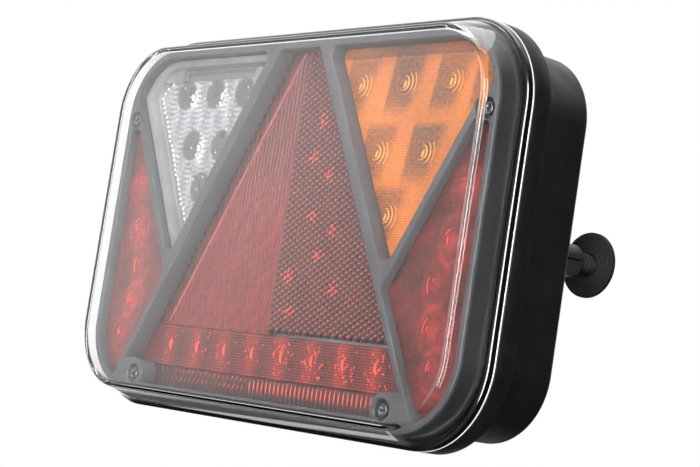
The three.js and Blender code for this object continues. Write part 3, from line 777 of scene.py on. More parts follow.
def ribbed_panel(outline, front, rib, height, axis, columns, tone, slices=4):
    """A closed lens panel whose front is fine ribs. Ribs run along x for axis 0 and along z for 1.

    tone(x, z) gives each point's brightness, from 0 to 1, kept in the mesh as an attribute.
    """
    levels = [p[1 - axis] for p in outline]
    low, high = min(levels) + 0.02, max(levels) - 0.02
    rows = max(2, round((high - low) / rib * slices))
    shape = bmesh.new()
    layer = shape.verts.layers.float.new("tone")
    grid = []
    for r in range(rows + 1):
        level = low + (high - low) * r / rows
        start, end = span(outline, level, axis)
        lift = height * 0.5 * (1 - math.cos(2 * math.pi * r / slices))
        line = []
        for c in range(columns + 1):
            along = start + (end - start) * c / columns
            x, z = (along, level) if axis == 0 else (level, along)
            vert = shape.verts.new((x, front + height - lift, z))
            vert[layer] = tone(x, z)
            line.append(vert)
        grid.append(line)
    for r in range(rows):
        for c in range(columns):
            shape.faces.new((grid[r][c], grid[r][c + 1], grid[r + 1][c + 1], grid[r + 1][c]))
    rim = grid[0] + [line[-1] for line in grid[1:-1]]
    rim += grid[-1][::-1] + [line[0] for line in grid[-2:0:-1]]
    close_behind(shape, rim, at_depth(PANEL_END), layer)
    return shape


def close_behind(shape, rim, back, layer):
    """Walls from a rim straight back, and the back face, their tone darkened to 0.7 of the rim's as
    painted shade.
    """
    behind = []
    for vert in rim:
        made = shape.verts.new((vert.co.x, back, vert.co.z))
        # painted shade on the walls and back
        made[layer] = vert[layer] * 0.7
        behind.append(made)
    add_rings(shape, [rim, behind])
    shape.faces.new(behind)


def add_dome(shape, x, y, z, half_length, half_width, lean, height, sides=8):
    """A low facet with the glowing glint finish, a painted highlight: an oval turned by lean, that
    stands a little out of a surface.
    """
    top = shape.verts.new((x, y - height, z))
    ring = []
    for i in range(sides):
        angle = 2 * math.pi * i / sides
        u, v = half_length * math.cos(angle), half_width * math.sin(angle)
        spot = (
            x + u * math.cos(lean) - v * math.sin(lean),
            y,
            z + u * math.sin(lean) + v * math.cos(lean),
        )
        ring.append(shape.verts.new(spot))
    base = shape.verts.new((x, y + 0.15, z))
    for i in range(sides):
        j = (i + 1) % sides
        shape.faces.new((top, ring[i], ring[j])).material_index = GLINT
        shape.faces.new((base, ring[j], ring[i])).material_index = GLINT


def add_arc(shape, x, y, z, radius, thick, start, end, squeeze=1.0):
    """A thin ridge along an arc, pointed at both ends, with the glowing glint finish: a painted
    highlight.
    """
    steps = 14
    rings = []
    for i in range(steps + 1):
        share = i / steps
        angle = math.radians(start + (end - start) * share)
        half = thick * max(math.sin(math.pi * share), 0.08)
        ring = []
        for dr, dy in ((-half, 0.1), (0, -0.25), (half, 0.1), (0, 0.3)):
            r = radius + dr
            spot = (x + squeeze * r * math.cos(angle), y + dy, z + r * math.sin(angle))
            ring.append(shape.verts.new(spot))
        rings.append(ring)
    before = len(shape.faces)
    add_rings(shape, rings, caps=True)
    mark(shape, before, None, GLINT)


def carve(piece, cutter):
    """Cuts a bmesh in millimetres out of a piece, and keeps the result as its mesh."""
    bmesh.ops.recalc_face_normals(cutter, faces=cutter.faces)
    bmesh.ops.scale(cutter, vec=(MM, MM, MM), verts=cutter.verts)
    data = bpy.data.meshes.new("cutter")
    cutter.to_mesh(data)
    cutter.free()
    tool = bpy.data.objects.new("cutter", data)
    bpy.context.scene.collection.objects.link(tool)
    cut = piece.modifiers.new("cut", "BOOLEAN")
    cut.object = tool
    cut.operation = "DIFFERENCE"
    cut.solver = "EXACT"
    bpy.context.view_layer.update()
    graph = bpy.context.evaluated_depsgraph_get()
    result = bpy.data.meshes.new_from_object(piece.evaluated_get(graph))
    piece.modifiers.remove(cut)
    bpy.data.objects.remove(tool)
    piece.data = result
    result.set_sharp_from_angle(angle=math.radians(SHARP))


def eased_copy(node_name, name, look, edge=0.25, body="lamp"):
    """A CAD part's shape with its sharp edges eased, standing for that part."""
    shape = bmesh.new()
    shape.from_mesh(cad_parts[node_name].data)
    bmesh.ops.scale(shape, vec=(1 / MM,) * 3, verts=shape.verts)
    bmesh.ops.remove_doubles(shape, verts=shape.verts, dist=1e-3)
    bmesh.ops.dissolve_limit(
        shape, angle_limit=math.radians(1), verts=shape.verts, edges=shape.edges
    )
    sharp = [e for e in shape.edges if e.is_manifold and e.calc_face_angle(0) > math.radians(40)]
    bmesh.ops.bevel(
        shape, geom=sharp, offset=edge, segments=2, affect="EDGES", profile=0.5, clamp_overlap=True
    )
    stand_in(node_name, name, shape, [look], body=body)


# ---------------------------------------------------------------- outer shells


def cover_lean(depth):
    """How far in from its flange the cover's outer wall stands at a depth."""
    return FACE_INSET * (1 - (depth - COVER_EDGE_R) / (COVER_BACK - COVER_EDGE_R))


def clear_cover():
    """Clear cap: flat face, rounded edge, leaning walls, a flange, a channel painted near-black as
    painted shade, and a bead painted white and glowing as a painted highlight.
    """
    sections = []
    for turn in quarter(8):
        depth = COVER_EDGE_R * (1 - math.cos(turn))
        sections.append((depth, FACE_INSET + COVER_EDGE_R * (1 - math.sin(turn))))
    lean = cover_lean(FLANGE_AT)
    bead = COVER_BACK - 0.75
    channel_from = len(sections)
    sections += [
        (FLANGE_AT - 0.5, cover_lean(FLANGE_AT - 0.5)),
        (FLANGE_AT, lean - 0.05),
        (FLANGE_AT + 0.25, lean * 0.55),
        (FLANGE_AT + 0.45, 0.35),
        (FLANGE_AT + 0.7, 0.1),
        (FLANGE_AT + 1.0, 0.05),
        (bead - 0.1, 0.05),
        (bead, 0.3),
    ]
    bead_from = len(sections) - 1
    sections += [(bead + 0.12, 0.1), (bead + 0.3, 0), (bead + 0.55, 0.08), (COVER_BACK, 0.35)]
    bead_to = len(sections) - 1
    sections.append((COVER_BACK, cover_lean(COVER_BACK) + COVER_WALL))
    for turn in quarter(6):
        depth = COVER_FACE_WALL + COVER_INNER_R * (1 - math.sin(turn))
        inset = cover_lean(depth) + COVER_WALL + COVER_INNER_R * (1 - math.cos(turn))
        sections.append((depth, inset))
    shape = bmesh.new()
    add_rings(shape, loft_rings(shape, sections), caps=True)
    in_ring = 4 * (CORNER_STEPS + 1)
    finishes = ["clear", "weld", "channel"]
    # the channel band takes the painted shade
    mark(shape, channel_from * in_ring, bead_from * in_ring, finishes.index("channel"))
    # the bead band takes the painted highlight
    mark(shape, bead_from * in_ring, bead_to * in_ring, finishes.index("weld"))
    stand_in("lens_cover", "clear_cover", shape, finishes, 32)


# Shallow pockets in the housing's back: middle x and z, width, height
POCKETS = [(-57, 40, 44, 52), (-19, 40, 28, 52), (19, 40, 28, 52), (57, 40, 44, 52)]
POCKETS += [(-78, -38, 46, 26), (78, -38, 46, 26)]
POCKET_R = 4
POCKET_DEPTH = 0.9

# The housing's holes
STUD_HOLE_R = 4.1
INLET_HOLE_R = 11.6
VENT_HOLE_R = 3.35
HOLE_DEPTH = 6


def housing_shell():
    """Black shell: a flange under the cover, a deeper box, and shallow pockets in the back."""
    low, high = box_mm("housing")
    front = low.y - FACE_Y
    back = high.y - FACE_Y
    flange_back = 27.8
    inset, wall, floor_wall = 6.5, 2.6, 2.8
    sections = [
        (back - floor_wall, inset + wall),
        (front + 1, inset + wall),
        (front, inset + wall + 0.4),
        (front, 0.6),
        (front + 0.15, 0.18),
        (front + 0.5, 0.02),
        (flange_back - 0.8, 0.02),
        (flange_back - 0.3, 0.15),
        (flange_back - 0.05, 0.5),
        (flange_back, 0.9),
        (flange_back, inset - 0.8),
        (flange_back + 0.25, inset - 0.25),
        (flange_back + 0.8, inset),
    ]
    edge = 2.2
    for turn in quarter(5):
        sections.append((back - edge * (1 - math.sin(turn)), inset + edge * (1 - math.cos(turn))))
    shape = bmesh.new()
    add_rings(shape, loft_rings(shape, sections), caps=True)
    made = stand_in("housing", "housing_shell", shape, ["black"], 35)
    cutter = bmesh.new()
    stud_x, _ = middle(*box_mm("stud_right"))
    holes = [(-stud_x, 0, STUD_HOLE_R), (stud_x, 0, STUD_HOLE_R)]
    holes += [(*INLET_AT, INLET_HOLE_R), (*VENT_AT, VENT_HOLE_R)]
    for x, z, radius in holes:
        add_prism(cutter, circle(x, z, radius), high.y - HOLE_DEPTH, high.y + 1)
    for x, z, width, height in POCKETS:
        outline = [(px + x, pz + z) for px, pz in rounded(width, height, POCKET_R, 6)]
        add_prism(cutter, outline, high.y - POCKET_DEPTH, high.y + 1)
    carve(made, cutter)


def bezel():
    """Charcoal frame: a plate with five windows, a skirt painted a darker charcoal as painted
    shade, and a floor in each screw recess.
    """
    windows = [window(side) for window in (upper_window, tail_window) for side in (1, -1)]
    windows.append(triangle_window())
    recesses = [circle(x, z, RECESS_R) for x, z in SCREWS.values()]
    rim = lamp_outline(BEZEL_INSET)
    shape = plate([rim, *windows, *recesses], at_depth(BEZEL_AT), at_depth(PLATE_END), 0.4)
    skirt = [
        (BEZEL_AT + 1.2, BEZEL_INSET + 0.02),
        (BEZEL_END, BEZEL_INSET - 0.9),
        (BEZEL_END, BEZEL_INSET + SKIRT - 0.8),
        (BEZEL_AT + 1.2, BEZEL_INSET + SKIRT),
    ]
    plate_faces = len(shape.faces)
    add_rings(shape, loft_rings(shape, skirt), closed=True)
    # the skirt takes the darker charcoal, painted shade
    mark(shape, plate_faces, None, 1)
    outer, bore = RECESS_R + 0.3, 1.6
    front = at_depth(BEZEL_AT + 2.6)
    back = front + 2
    for x, z in SCREWS.values():
        ring = [(outer, front), (outer, back), (bore, back), (bore, front)]
        add_lathe(shape, x, z, ring, 32, closed=True)
    stand_in("bezel_frame", "bezel", shape, ["charcoal", "side"], 18)


def star(x, z, outer, inner):
    """Six-lobed recess of a star drive."""
    steps = 48
    points = []
    for i in range(steps):
        angle = 2 * math.pi * i / steps
        radius = (outer + inner) / 2 + (outer - inner) / 2 * math.cos(6 * angle)
        points.append((x + radius * math.cos(angle), z + radius * math.sin(angle)))
    return points


def bezel_screw(place, x, z):
    """Pan-head screw with a star drive."""
    low, high = box_mm(f"bezel_screw_{place}")
    radius = (high.x - low.x) / 2 - 0.5
    head_back = low.y + 1.9
    shape = plate([circle(x, z, radius), star(x, z, 1.5, 0.95)], low.y, head_back, 0.45, 3)
    profile = [(AXIS_R, low.y + 1.1), (1.9, low.y + 1.1), (1.9, head_back), (1.4, head_back + 0.2)]
    profile += [(1.4, high.y - 1.5), (0.4, high.y), (AXIS_R, high.y)]
    add_lathe(shape, x, z, profile, 24)
    stand_in(f"bezel_screw_{place}", f"star_screw_{place}", shape, ["zinc"], 30)


# ---------------------------------------------------------------- lenses


def ease(value, low, high):
    share = min(max((value - low) / (high - low), 0.0), 1.0)
    return share * share * (3 - 2 * share)


# The LEDs of each window, in x and z; the tail LEDs are mirrored on the left
AMBER_LEDS = [(34.0, 54.5), (59.5, 54.5), (84.4, 54.5), (105.0, 54.5)]
AMBER_LEDS += [(49.3, 28.3), (74.8, 28.3), (59.2, 4.5)]
TAIL_LEDS = [(101, 14), (98, -4), (93, -20), (94, -36), (98, -50)]
BRAKE_LEDS = [(-65.1 + 18.6 * i, -51.5) for i in range(8)]
CUPS = [(-83.0, 54.5), (-62.3, 54.5), (-42.0, 54.5), (-73.5, 32.5), (-53.3, 32.5), (-63.0, 14.5)]


# Painted glint arcs, glowing, before each amber LED: radius, half thickness, degrees to each side
AMBER_ARCS = [(2.9, 0.3, 118), (4.9, 0.2, 66), (6.8, 0.14, 40)]


def amber_tone(x, z):
    """Bright orange, with a browner hatched patch, hard on its left, before each reflector as
    painted shade, and painted shade along the top edge under the bezel.
    """
    tone = 0.72 + 0.1 * math.sin(0.11 * x + 0.07 * z)
    for lx, lz in AMBER_LEDS:
        u, v = x - lx, z - lz
        left = ease(u - 0.16 * v, -10.0, -8.4)
        right = 1 - ease(u - 0.35 * v, 2.5, 9.5)
        down = ease(v, -14.5, -6.0) * (1 - ease(v, 8.0, 12.5))
        hatch = 0.5 + 0.25 * math.sin(z * 5.1) + 0.25 * math.sin(x * 3.3 + math.sin(z * 2.2))
        ring = 0.05 * math.sin(math.hypot(u + 1, v) * 2.4)
        # painted shade of each reflector
        tone -= left * right * down * (0.36 + 0.16 * hatch + ring)
    # painted shade along the top edge, under the bezel
    return max(tone - 0.42 * ease(z, FIELD_TOP - 5, FIELD_TOP - 4.2), 0.1)


def indicator():
    """Amber window: a painted glint and three painted glint arcs, all glowing, in front of each
    LED.
    """
    front = at_depth(AMBER_AT)
    panel = ribbed_panel(upper_window(1, PLAY), front, 1.0, 0.17, 0, 110, amber_tone)
    for x, z in AMBER_LEDS:
        add_dome(panel, x - 0.6, front, z - 0.6, 1.5, 0.6, 1.2, 0.3)
        for radius, thick, sweep in AMBER_ARCS:
            add_arc(panel, x - 1.5, front, z, radius, thick, -sweep, sweep * 0.8)
    stand_in("indicator_lens", "amber_lens", panel, ["amber", "amber_glint"], 60)


def tail_tone(x, z):
    """Dull red, painted lighter on the left pane as painted light, with a painted highlight middle
    and ring before each LED.
    """
    # painted light: the left pane lighter than the right
    tone = 0.38 if x < 0 else 0.26
    tone += 0.07 * math.sin(0.23 * z + 0.1 * abs(x)) + 0.05 * math.sin(0.61 * z - 0.4 * x)
    for lx, lz in TAIL_LEDS:
        away = math.hypot(x - math.copysign(lx, x) - 1.0, (z - lz) / 1.3)
        # painted highlight: a bright middle and a ring before each LED
        tone += 0.42 * math.exp(-((away / 4.4) ** 2)) + 0.2 * math.exp(-(((away - 6.4) / 1.1) ** 2))
    return tone


def tail_pane(side, word):
    """Tail window, with two painted glint arcs, glowing, by each LED."""
    front = at_depth(TAIL_AT)
    panel = ribbed_panel(tail_window(side, PLAY), front, 0.9, 0.12, 0, 60, tail_tone)
    draw = random.Random(4)
    for x, z in TAIL_LEDS:
        for reach in (2.2, 4.6):
            start = draw.uniform(70, 150)
            end = start + draw.uniform(40, 90)
            radius = reach * draw.uniform(0.8, 1.1)
            add_arc(panel, side * x, front, z, radius, 0.16, start, end, 0.7)
    stand_in(f"tail_lens_{word}", f"tail_pane_{word}", panel, ["red", "red_glint"], 60)


# The corner-cube lattice: columns of hexagonal pins, every other column half a pin lower
PIN = 2.5
COLUMN = PIN * DIAGONAL


def pin_centres(x0, x1, z0, z1):
    """Centres of the pins in a rectangle, on one lattice for the whole lamp."""
    centres = []
    for i in range(math.ceil(x0 / COLUMN), math.floor(x1 / COLUMN) + 1):
        shift = PIN / 2 if i % 2 else 0.0
        for j in range(math.ceil((z0 - shift) / PIN), math.floor((z1 - shift) / PIN) + 1):
            centres.append((i * COLUMN, j * PIN + shift))
    return centres


def cell_panel(centres, corners, lifts, front, back, tone):
    """A closed panel of equal cells, each a fan about its centre, with its corners lower."""
    shape = bmesh.new()
    layer = shape.verts.layers.float.new("tone")
    for x, z in centres:
        hub = shape.verts.new((x, front, z))
        hub[layer] = tone(x, z)
        ring = []
        for (dx, dz), lift in zip(corners, lifts):
            vert = shape.verts.new((x + dx, front + lift, z + dz))
            vert[layer] = tone(x + dx, z + dz)
            ring.append(vert)
        for i, vert in enumerate(ring):
            shape.faces.new((hub, vert, ring[(i + 1) % len(ring)]))
    bmesh.ops.remove_doubles(shape, verts=shape.verts, dist=0.02)
    edges = [e for e in shape.edges if e.is_boundary]
    walls = bmesh.ops.extrude_edge_only(shape, edges=edges)["geom"]
    for item in walls:
        if isinstance(item, bmesh.types.BMVert):
            item.co.y = back
    rim = [e for e in shape.edges if e.is_boundary]
    bmesh.ops.contextual_create(shape, geom=rim)
    return shape


def in_triangle(x, z, margin):
    return abs(x) < strip_x(z, margin / DIAGONAL)


def reflex_tone(x, z):
    return 0.16 + 0.12 * math.sin(0.31 * x + 0.5) * math.sin(0.17 * z)


# Where the dark half's painted glints join into larger painted glints
REFLEX_BLOTCHES = [(12, 41), (9, 27), (20, 20), (14, 3), (27, -2)]
REFLEX_BLOTCHES += [(21, -12), (4, -20), (33, -24), (8, -34)]


def reflex_half():
    """Dark half of the triangle: corner cubes with one painted glint each, and larger painted
    glints, all glowing.
    """
    front = at_depth(PANEL_AT)
    centres = pin_centres(PANEL_SPLIT, 75, BRAKE_TOP + PIN / 2, FIELD_TOP + 1)
    centres = [(x, z) for x, z in centres if in_triangle(x, z, UNDERLAP)]
    corners = circle(0, 0, PIN / math.sqrt(3), 6)
    lifts = [0.25, 0.5] * 3
    panel = cell_panel(centres, corners, lifts, front, at_depth(PANEL_END), reflex_tone)
    draw = random.Random(7)
    for x, z in centres:
        large = 0.85 + 0.3 * draw.random()
        if min(math.dist((x, z), spot) for spot in REFLEX_BLOTCHES) < 3.0:
            large *= 1.7
        if in_triangle(x, z, -1.0):
            add_dome(panel, x + 0.2, front + 0.1, z + 0.2, 0.55 * large, 0.2 * large, 0.8, 0.3)
    for x, z in REFLEX_BLOTCHES:
        for lean in (0.3, 1.2, 2.0, 2.7):
            away = 3.2 * draw.random()
            spot_x, spot_z = x + away * math.cos(lean) - 0.8, z + away * math.sin(lean) - 0.8
            add_dome(panel, spot_x, front + 0.1, spot_z, 0.9, 0.14, lean, 0.25)
    stand_in(
        "reflex_reflector", "reflex_prisms", panel, ["reflex", "red_glint"], 12
    )


def left_gap(x, z):
    """Distance of a point from the left strip's edge, in the triangle."""
    return (strip_x(z) + x) * DIAGONAL


# A painted highlight line, glowing, beside the left strip: its distance from the strip's edge, and
# half its width
LINE_GAP = 5.3
LINE_HALF = 0.25


def centre_tone(x, z):
    """Painted light: painted highlight streaks down each column of pins, dark dots near the apex,
    and painted shadow of the strip beside it.
    """
    streak = 0.5 + 0.5 * math.cos(2 * math.pi * x / COLUMN)
    wander = math.sin(x * 1.7 + 3.1 * math.sin(z * 0.21)) * math.sin(z * 0.83 + x)
    tone = 0.42 + 0.3 * streak + 0.14 * wander
    row = round(x / COLUMN)
    shift = PIN / 2 if row % 2 else 0.0
    dz = (z - shift) / PIN - round((z - shift) / PIN)
    dot = math.hypot(x - row * COLUMN, dz * PIN)
    tone -= 0.55 * ease(z, 8, 34) * (1 - ease(dot, 0.5, 1.0))
    # painted shadow of the strip, a dark band beside it
    if left_gap(x, z) < 5.2:
        tone = 0.24
    return tone


def centre_half():
    """Half of the triangle painted lighter as painted light, ribbed down its length, with a painted
    highlight line, glowing, beside the strip.
    """
    top, split = FIELD_TOP + 1, PANEL_SPLIT + 1.6
    outline = [
        (-strip_x(BRAKE_TOP, UNDERLAP), BRAKE_TOP),
        (split, BRAKE_TOP),
        (split, top),
        (-strip_x(top, UNDERLAP), top),
    ]
    front = at_depth(PANEL_AT + 0.3)
    panel = ribbed_panel(outline, front, COLUMN, 0.35, 1, 110, centre_tone, 6)
    low, high = BRAKE_TOP + 1, FIELD_TOP
    line = []
    for z, grow in ((low, 1), (high, 1), (high, -1), (low, -1)):
        line.append((-strip_x(z) + (LINE_GAP + grow * LINE_HALF) / DIAGONAL, z))
    add_prism(panel, line, front - 0.35, front + 0.5, GLINT)
    stand_in("centre_tail_lens", "painted_lit_half", panel, ["red", "red_line_painted_glint"], 40)


def brake_tone(x, z):
    """A painted highlight patch on the left of each LED and a dark, rippled patch of painted shade
    on its right.
    """
    tone = 0.4
    for lx, _ in BRAKE_LEDS:
        tone += 0.3 * math.exp(-(((x - lx + 2.5) / 3.2) ** 2))
        tone -= 0.22 * math.exp(-(((x - lx - 5.5) / 2.6) ** 2)) * (0.7 + 0.3 * math.sin(5 * z))
    return tone + 0.08 * math.sin(2.1 * x + 1.7 * z)


def brake():
    """Brake band: a painted glint crescent, glowing, on each LED, and painted glint sparks round
    it, most of them on the right.
    """
    low_x, high_x = strip_x(BRAKE_BOTTOM, UNDERLAP), strip_x(BRAKE_TOP, UNDERLAP)
    low, high = BRAKE_BOTTOM + PLAY / 2, BRAKE_TOP - PLAY / 2
    outline = [(-low_x, low), (low_x, low), (high_x, high), (-high_x, high)]
    front = at_depth(PANEL_AT)
    panel = ribbed_panel(outline, front, 1.1, 0.22, 0, 170, brake_tone)
    draw = random.Random(11)
    for x, z in BRAKE_LEDS:
        add_arc(panel, x + 1.2, front, z, 3.0, 0.72, 128, 232)
        sparks = 7 if x < 0 else 26
        for _ in range(sparks):
            spot_x, spot_z = x + draw.uniform(-7, 6), z + draw.uniform(-7, 6)
            reach, lean = draw.uniform(0.4, 0.9), draw.uniform(0.9, 2.2)
            add_dome(panel, spot_x, front + 0.1, spot_z, reach, 0.26, lean, 0.25, 6)
    stand_in("brake_lens", "brake_pane", panel, ["red", "red_glint"], 60)


def foot_tone(x, z):
    return 0.3 if x > -11 and z > -67.2 else 0.12


def foot():
    """Strip along the foot: slanting painted glint dashes, glowing, on the left, and upright ribs
    with short painted glint bars on the right.
    """
    bottom = -FIELD_TOP - UNDERLAP
    edge = FOOT_SCREW[0] + 3
    top = BRAKE_BOTTOM - PLAY / 2
    outline = [(-edge, bottom), (edge, bottom), (edge, top), (-edge, top)]
    rib, x, last = 2.6, -9.0, FOOT_SCREW[0] - FOOT_PAD_R
    front = at_depth(PANEL_AT)
    panel = ribbed_panel(outline, front, rib, 0.4, 1, 24, foot_tone)
    while x < last:
        add_dome(panel, x, front + 0.1, -64.0, 2.6, 0.2, math.radians(90), 0.25)
        x += rib
    draw = random.Random(3)
    for i in range(17):
        x = -60 + 3 * i
        for drop in (0.0, 3.2):
            reach = 0.6 + 0.9 * draw.random()
            lean = math.radians(50 + 12 * draw.random())
            add_dome(panel, x - drop / 2, front + 0.1, -62.2 - drop, reach, 0.16, lean, 0.2)
    stand_in("fog_lens", "foot_pane", panel, ["reflex", "red_glint"], 40)


# ---------------------------------------------------------------- reverse window


def resampled(outline, count):
    """Evenly spaced points round an outline, from its lowest one."""
    first = min(range(len(outline)), key=lambda k: outline[k][1])
    loop = outline[first:] + outline[: first + 1]
    lengths = [math.dist(loop[i], loop[i + 1]) for i in range(len(loop) - 1)]
    total = sum(lengths)
    points, i, walked = [], 0, 0.0
    for k in range(count):
        target = total * k / count
        while walked + lengths[i] < target:
            walked += lengths[i]
            i += 1
        share = (target - walked) / max(lengths[i], 1e-9)
        points.append(tuple(a + share * (b - a) for a, b in zip(loop[i], loop[i + 1])))
    return points


def inside(x, z, outline):
    hit = False
    for i, (ax, az) in enumerate(outline):
        bx, bz = outline[i - 1]
        if (az > z) != (bz > z) and x < (bx - ax) * (z - az) / (bz - az) + ax:
            hit = not hit
    return hit


def reverse_tray():
    """Metallised tray: a rim, a step, a sloping wall and a flat floor, with a post and a rib."""
    steps = [(PLAY, 17.6), (PLAY, 11.1), (0.7, 10.9), (3.0, 11.3), (3.3, 11.7)]
    steps += [(4.1, 14.6), (5.0, 15.0), (5.6, 15.9), (6.4, 16.2)]
    shape = bmesh.new()
    rings = []
    for play, depth in steps:
        ring = resampled(upper_window(-1, play), 220)
        rings.append([shape.verts.new((x, at_depth(depth), z)) for x, z in ring])
    add_rings(shape, rings, caps=True)
    post = ((AXIS_R, 11.2), (2.6, 11.2), (3.0, 11.6), (3.2, 16.5), (AXIS_R, 16.5))
    add_lathe(shape, -29.5, 61.0, [(radius, at_depth(depth)) for radius, depth in post], 36)
    rib = [(-104, 60), (-86, 60), (-86, 66), (-104, 66)]
    add_prism(shape, rib, at_depth(13.4), at_depth(16.4))
    stand_in("reverse_reflector", "silver_tray", shape, ["silver"], 24)


PILLOW = 1.05  # the side of one pillow optic

# Painted glint sparks, glowing, beside each cup: offset in x and z, half length
CUP_SPARKS = [(5.0, -1.2, 1.5), (4.2, -4.0, 0.8), (6.4, 1.0, 0.7)]


def pillow_tone(x, z):
    """Greyish field with a painted dark bowl, painted shade of the cup, in front of each LED, and a
    painted highlight to the right of each.
    """
    tone = 0.56 + 0.16 * math.sin(5.3 * x + 2.0 * math.sin(3.1 * z)) + 0.1 * math.sin(9.1 * z)
    for lx, lz in CUPS:
        away = math.hypot(x - lx, z - lz)
        beside = math.hypot((x - lx - 6.0) / 3.2, (z - lz + 2.0) / 5.0)
        # painted highlight to the right of each cup
        tone += 0.4 * math.exp(-(beside**2))
        # painted shade of each cup
        bowl = 0.16 + 0.05 * math.sin(4 * away)
        tone = min(tone, bowl + 0.8 * ease(away, 6.0, 7.4))
    return tone


def reverse_patch():
    """Clear patch of fine pillow optics over the LEDs, with a beaded edge; beads and sparks are
    painted white and glowing as painted highlights.
    """
    outline = upper_window(-1, 7.0)
    xs = [p[0] for p in outline]
    zs = [p[1] for p in outline]
    top = max(zs) - 2.0
    half = PILLOW / 2
    corners = [(half, half), (-half, half), (-half, -half), (half, -half)]
    front = at_depth(PATCH_AT)
    across = range(int(min(xs) / PILLOW) - 1, int(max(xs) / PILLOW) + 2)
    centres, beads = [], []
    for j in range(int(min(zs) / PILLOW) - 1, int(max(zs) / PILLOW) + 2):
        z = j * PILLOW
        row = [i * PILLOW for i in across if z < top and inside(i * PILLOW, z, outline)]
        centres += [(x, z) for x in row]
        if row and j % 2:
            beads.append((row[0], z))
    panel = cell_panel(centres, corners, [0.35] * 4, front, at_depth(PATCH_END), pillow_tone)
    for x, z in beads:
        add_dome(panel, x, front + 0.2, z, 0.8, 0.6, 0, 0.5)
    for x, z in CUPS:
        for dx, dz, reach in CUP_SPARKS:
            add_dome(panel, x + dx, front + 0.2, z + dz, reach, 0.6 * reach, 1.3, 0.5, 14)
    # painted glint sparkles, most of them beside the cups
    draw = random.Random(5)
    for x, z in centres:
        near = min(math.dist((x, z), (cx + 7.0, cz - 2.0)) for cx, cz in CUPS)
        if draw.random() < (0.3 if near < 4 else 0.02):
            add_dome(panel, x, front + 0.15, z, 0.4, 0.28, draw.uniform(0, 3), 0.3, 6)
    stand_in("reverse_lens", "reverse_patch", panel, ["pillow", "white_glint"], 50)


# ---------------------------------------------------------------- fixings, inlet and vent


def sleeve(side, word):
    """Spacer sleeve split along its outer side."""
    low, high = box_mm(f"spacer_sleeve_{word}")
    x, _ = middle(low, high)
    radius, bore, slit, steps = (high.z - low.z) / 2, 4.2, 0.9, 64
    outline = []
    for r, order in ((radius, 1), (bore, -1)):
        start = math.asin(slit / 2 / r)
        angles = [start + (2 * math.pi - 2 * start) * i / steps for i in range(steps + 1)]
        for angle in angles[::order]:
            outline.append((x + side * r * math.cos(angle), r * math.sin(angle)))
    shape = plate([outline], low.y, high.y, 0.3)
    node_name = f"spacer_sleeve_{word}"
    stand_in(node_name, f"split_sleeve_{word}", shape, ["sleeve"], 24)


def washer(word):
    """Large washer with a coated face and fine turned rings."""
    node_name = f"clamp_washer_{word}"
    low, high = box_mm(node_name)
    x, _ = middle(low, high)
    radius = (high.x - low.x) / 2
    profile = [(4.25, low.y + 0.3), (4.5, low.y)]
    for i in range(8):
        r, groove = 5.4 + 0.8 * i, low.y + 0.08
        profile += [(r, low.y), (r + 0.12, groove), (r + 0.3, groove), (r + 0.42, low.y)]
    edge = [(radius - 0.35, 0), (radius - 0.1, 0.1), (radius, 0.35)]
    profile += [(r, low.y + eased) for r, eased in edge]
    profile += [(r, high.y - eased) for r, eased in reversed(edge)]
    profile += [(4.5, high.y), (4.25, high.y - 0.3)]
    shape = bmesh.new()
    add_lathe(shape, x, 0, profile, 96, closed=True)
    name, body = f"washer_disc_{word}", f"washer_{word}"
    stand_in(node_name, name, shape, ["coated"], 24, body)


def stud(word):
    """Carriage stud: head and shank inside, a rolled thread from the sleeve to its tip."""
    low, high = box_mm(f"stud_{word}")
    x, _ = middle(low, high)
    radius, pitch, groove = 4.0, 1.25, 0.55
    thread_from = box_mm(f"spacer_sleeve_{word}")[1].y - 6
    head_r, head_thick = 7.3, 5.2
    shape = plate([circle(x, 0, head_r, 6)], low.y, low.y + head_thick, 0.4)
    core, front, back = radius - groove - 0.05, low.y + 3, high.y - 1.4
    add_lathe(shape, x, 0, [(AXIS_R, front), (core, front), (core, back), (AXIS_R, back)], 32)
    shank = [(3.4, low.y + 5), (radius, low.y + 5.4)]
    shank += [(radius, thread_from), (3.2, thread_from + 0.5)]
    add_lathe(shape, x, 0, shank)
    sides, step, taper_length = 40, pitch / 8, 1.3
    rows = round((high.y - thread_from) / step)
    rings = []
    for r in range(rows + 1):
        along = thread_from + step * r
        taper = max(0.0, (along - (high.y - taper_length)) / taper_length) * 0.9
        ring = []
        for i in range(sides):
            turn = (along / pitch - i / sides) % 1.0
            ridge = min(1.0, 2.6 * abs(turn - 0.5))
            r_here = min(radius - groove + groove * ridge, radius - taper)
            angle = 2 * math.pi * i / sides
            spot = (x + r_here * math.cos(angle), min(along, high.y), r_here * math.sin(angle))
            ring.append(shape.verts.new(spot))
        rings.append(ring)
    add_rings(shape, rings, caps=True)
    stand_in(f"stud_{word}", f"threaded_stud_{word}", shape, ["black_steel"], 30)


INLET_LOW, INLET_HIGH = box_mm("inlet_seal")
INLET_AT = middle(INLET_LOW, INLET_HIGH)
VENT_LOW, VENT_HIGH = box_mm("vent_plug")
VENT_AT = middle(VENT_LOW, VENT_HIGH)


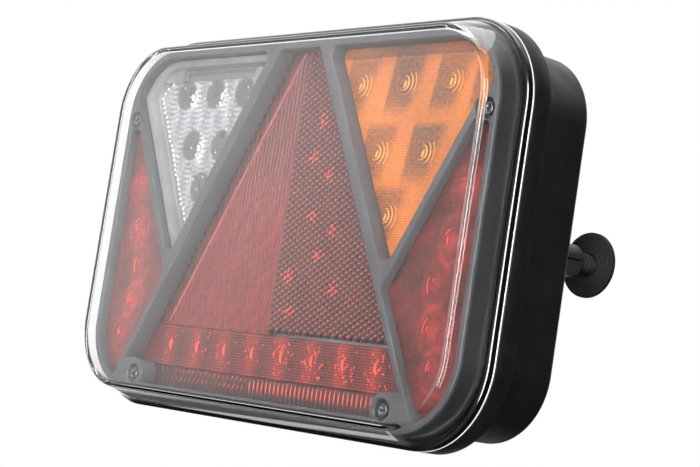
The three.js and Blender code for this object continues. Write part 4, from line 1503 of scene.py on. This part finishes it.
def inlet():
    """Cable inlet: eased socket, round-tipped pins and a rounded sealing ring."""
    eased_copy("inlet_socket", "socket_body", "black", 0.3)
    radius = 1.1
    for i in range(1, 6):
        low, high = box_mm(f"inlet_pin_{i}")
        profile = [(AXIS_R, low.y), (radius - 0.2, low.y), (radius, low.y + 0.2)]
        for turn in quarter(5):
            tip_y = high.y - radius + radius * math.sin(turn)
            profile.append((max(radius * math.cos(turn), AXIS_R), tip_y))
        shape = bmesh.new()
        add_lathe(shape, *middle(low, high), profile, 24)
        stand_in(f"inlet_pin_{i}", f"round_pin_{i}", shape, ["brass"], 30)
    halfway = (INLET_LOW.y + INLET_HIGH.y) / 2
    half = (INLET_HIGH.y - INLET_LOW.y) / 2
    outer, inner, steps = (INLET_HIGH.x - INLET_LOW.x) / 2, 13.9, 16
    swell = (outer - inner) / 2
    ring = []
    for k in range(steps):
        turn = 2 * math.pi * k / steps
        ring.append(((outer + inner) / 2 + swell * math.cos(turn), halfway + half * math.sin(turn)))
    shape = bmesh.new()
    add_lathe(shape, *INLET_AT, ring, 64, closed=True)
    stand_in("inlet_seal", "seal_ring", shape, ["rubber"], 40)


def vent():
    """Breather plug: a domed cap with a grooved edge, a stem and a barb."""
    radius = (VENT_HIGH.x - VENT_LOW.x) / 2
    low, high = VENT_LOW.y, VENT_HIGH.y
    profile = [(AXIS_R, low), (2.6, low), (3.7, low + 0.5), (3.2, -2.9), (3.2, 0.3)]
    profile += [(radius - 0.3, 0.3), (radius, 0.6), (radius, 1.2), (radius - 0.35, 1.4)]
    profile += [(radius - 0.35, 1.6), (radius, 1.8)]
    profile += [(radius, high - 0.7), (radius - 0.6, high - 0.15), (3.6, high), (3.2, high - 0.35)]
    profile += [(2.2, high - 0.35), (1.9, high - 0.05), (AXIS_R, high - 0.02)]
    shape = bmesh.new()
    add_lathe(shape, *VENT_AT, profile, 48)
    stand_in("vent_plug", "breather_cap", shape, ["rubber"], 30)


def carried_over():
    """The CAD parts inside the lamp keep their shapes and get their finishes."""
    finishes = {
        "rubber": ["lens_gasket"],
        "carrier": ["inner_carrier"],
        "driver": ["driver_board"],
        "braid": ["supply_loom"],
        "zinc": [f"driver_screw_{i}" for i in range(1, 5)],
        "board": [
            "indicator_led_board",
            "reverse_led_board",
            "tail_led_board_left",
            "tail_led_board_right",
            "brake_led_board",
        ],
    }
    for look, names in finishes.items():
        for name in names:
            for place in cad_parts[name].material_slots:
                place.material = LOOKS[look]


def build():
    camera()
    studio()
    floor()
    clear_cover()
    housing_shell()
    bezel()
    for place, (x, z) in SCREWS.items():
        bezel_screw(place, x, z)
    indicator()
    for side, word in ((-1, "left"), (1, "right")):
        tail_pane(side, word)
        sleeve(side, word)
        washer(word)
        stud(word)
        name, body = f"hex_nut_{word}", f"nut_{word}"
        eased_copy(f"clamp_nut_{word}", name, "black_steel", body=body)
    reflex_half()
    centre_half()
    brake()
    foot()
    reverse_tray()
    reverse_patch()
    inlet()
    vent()
    carried_over()


build()
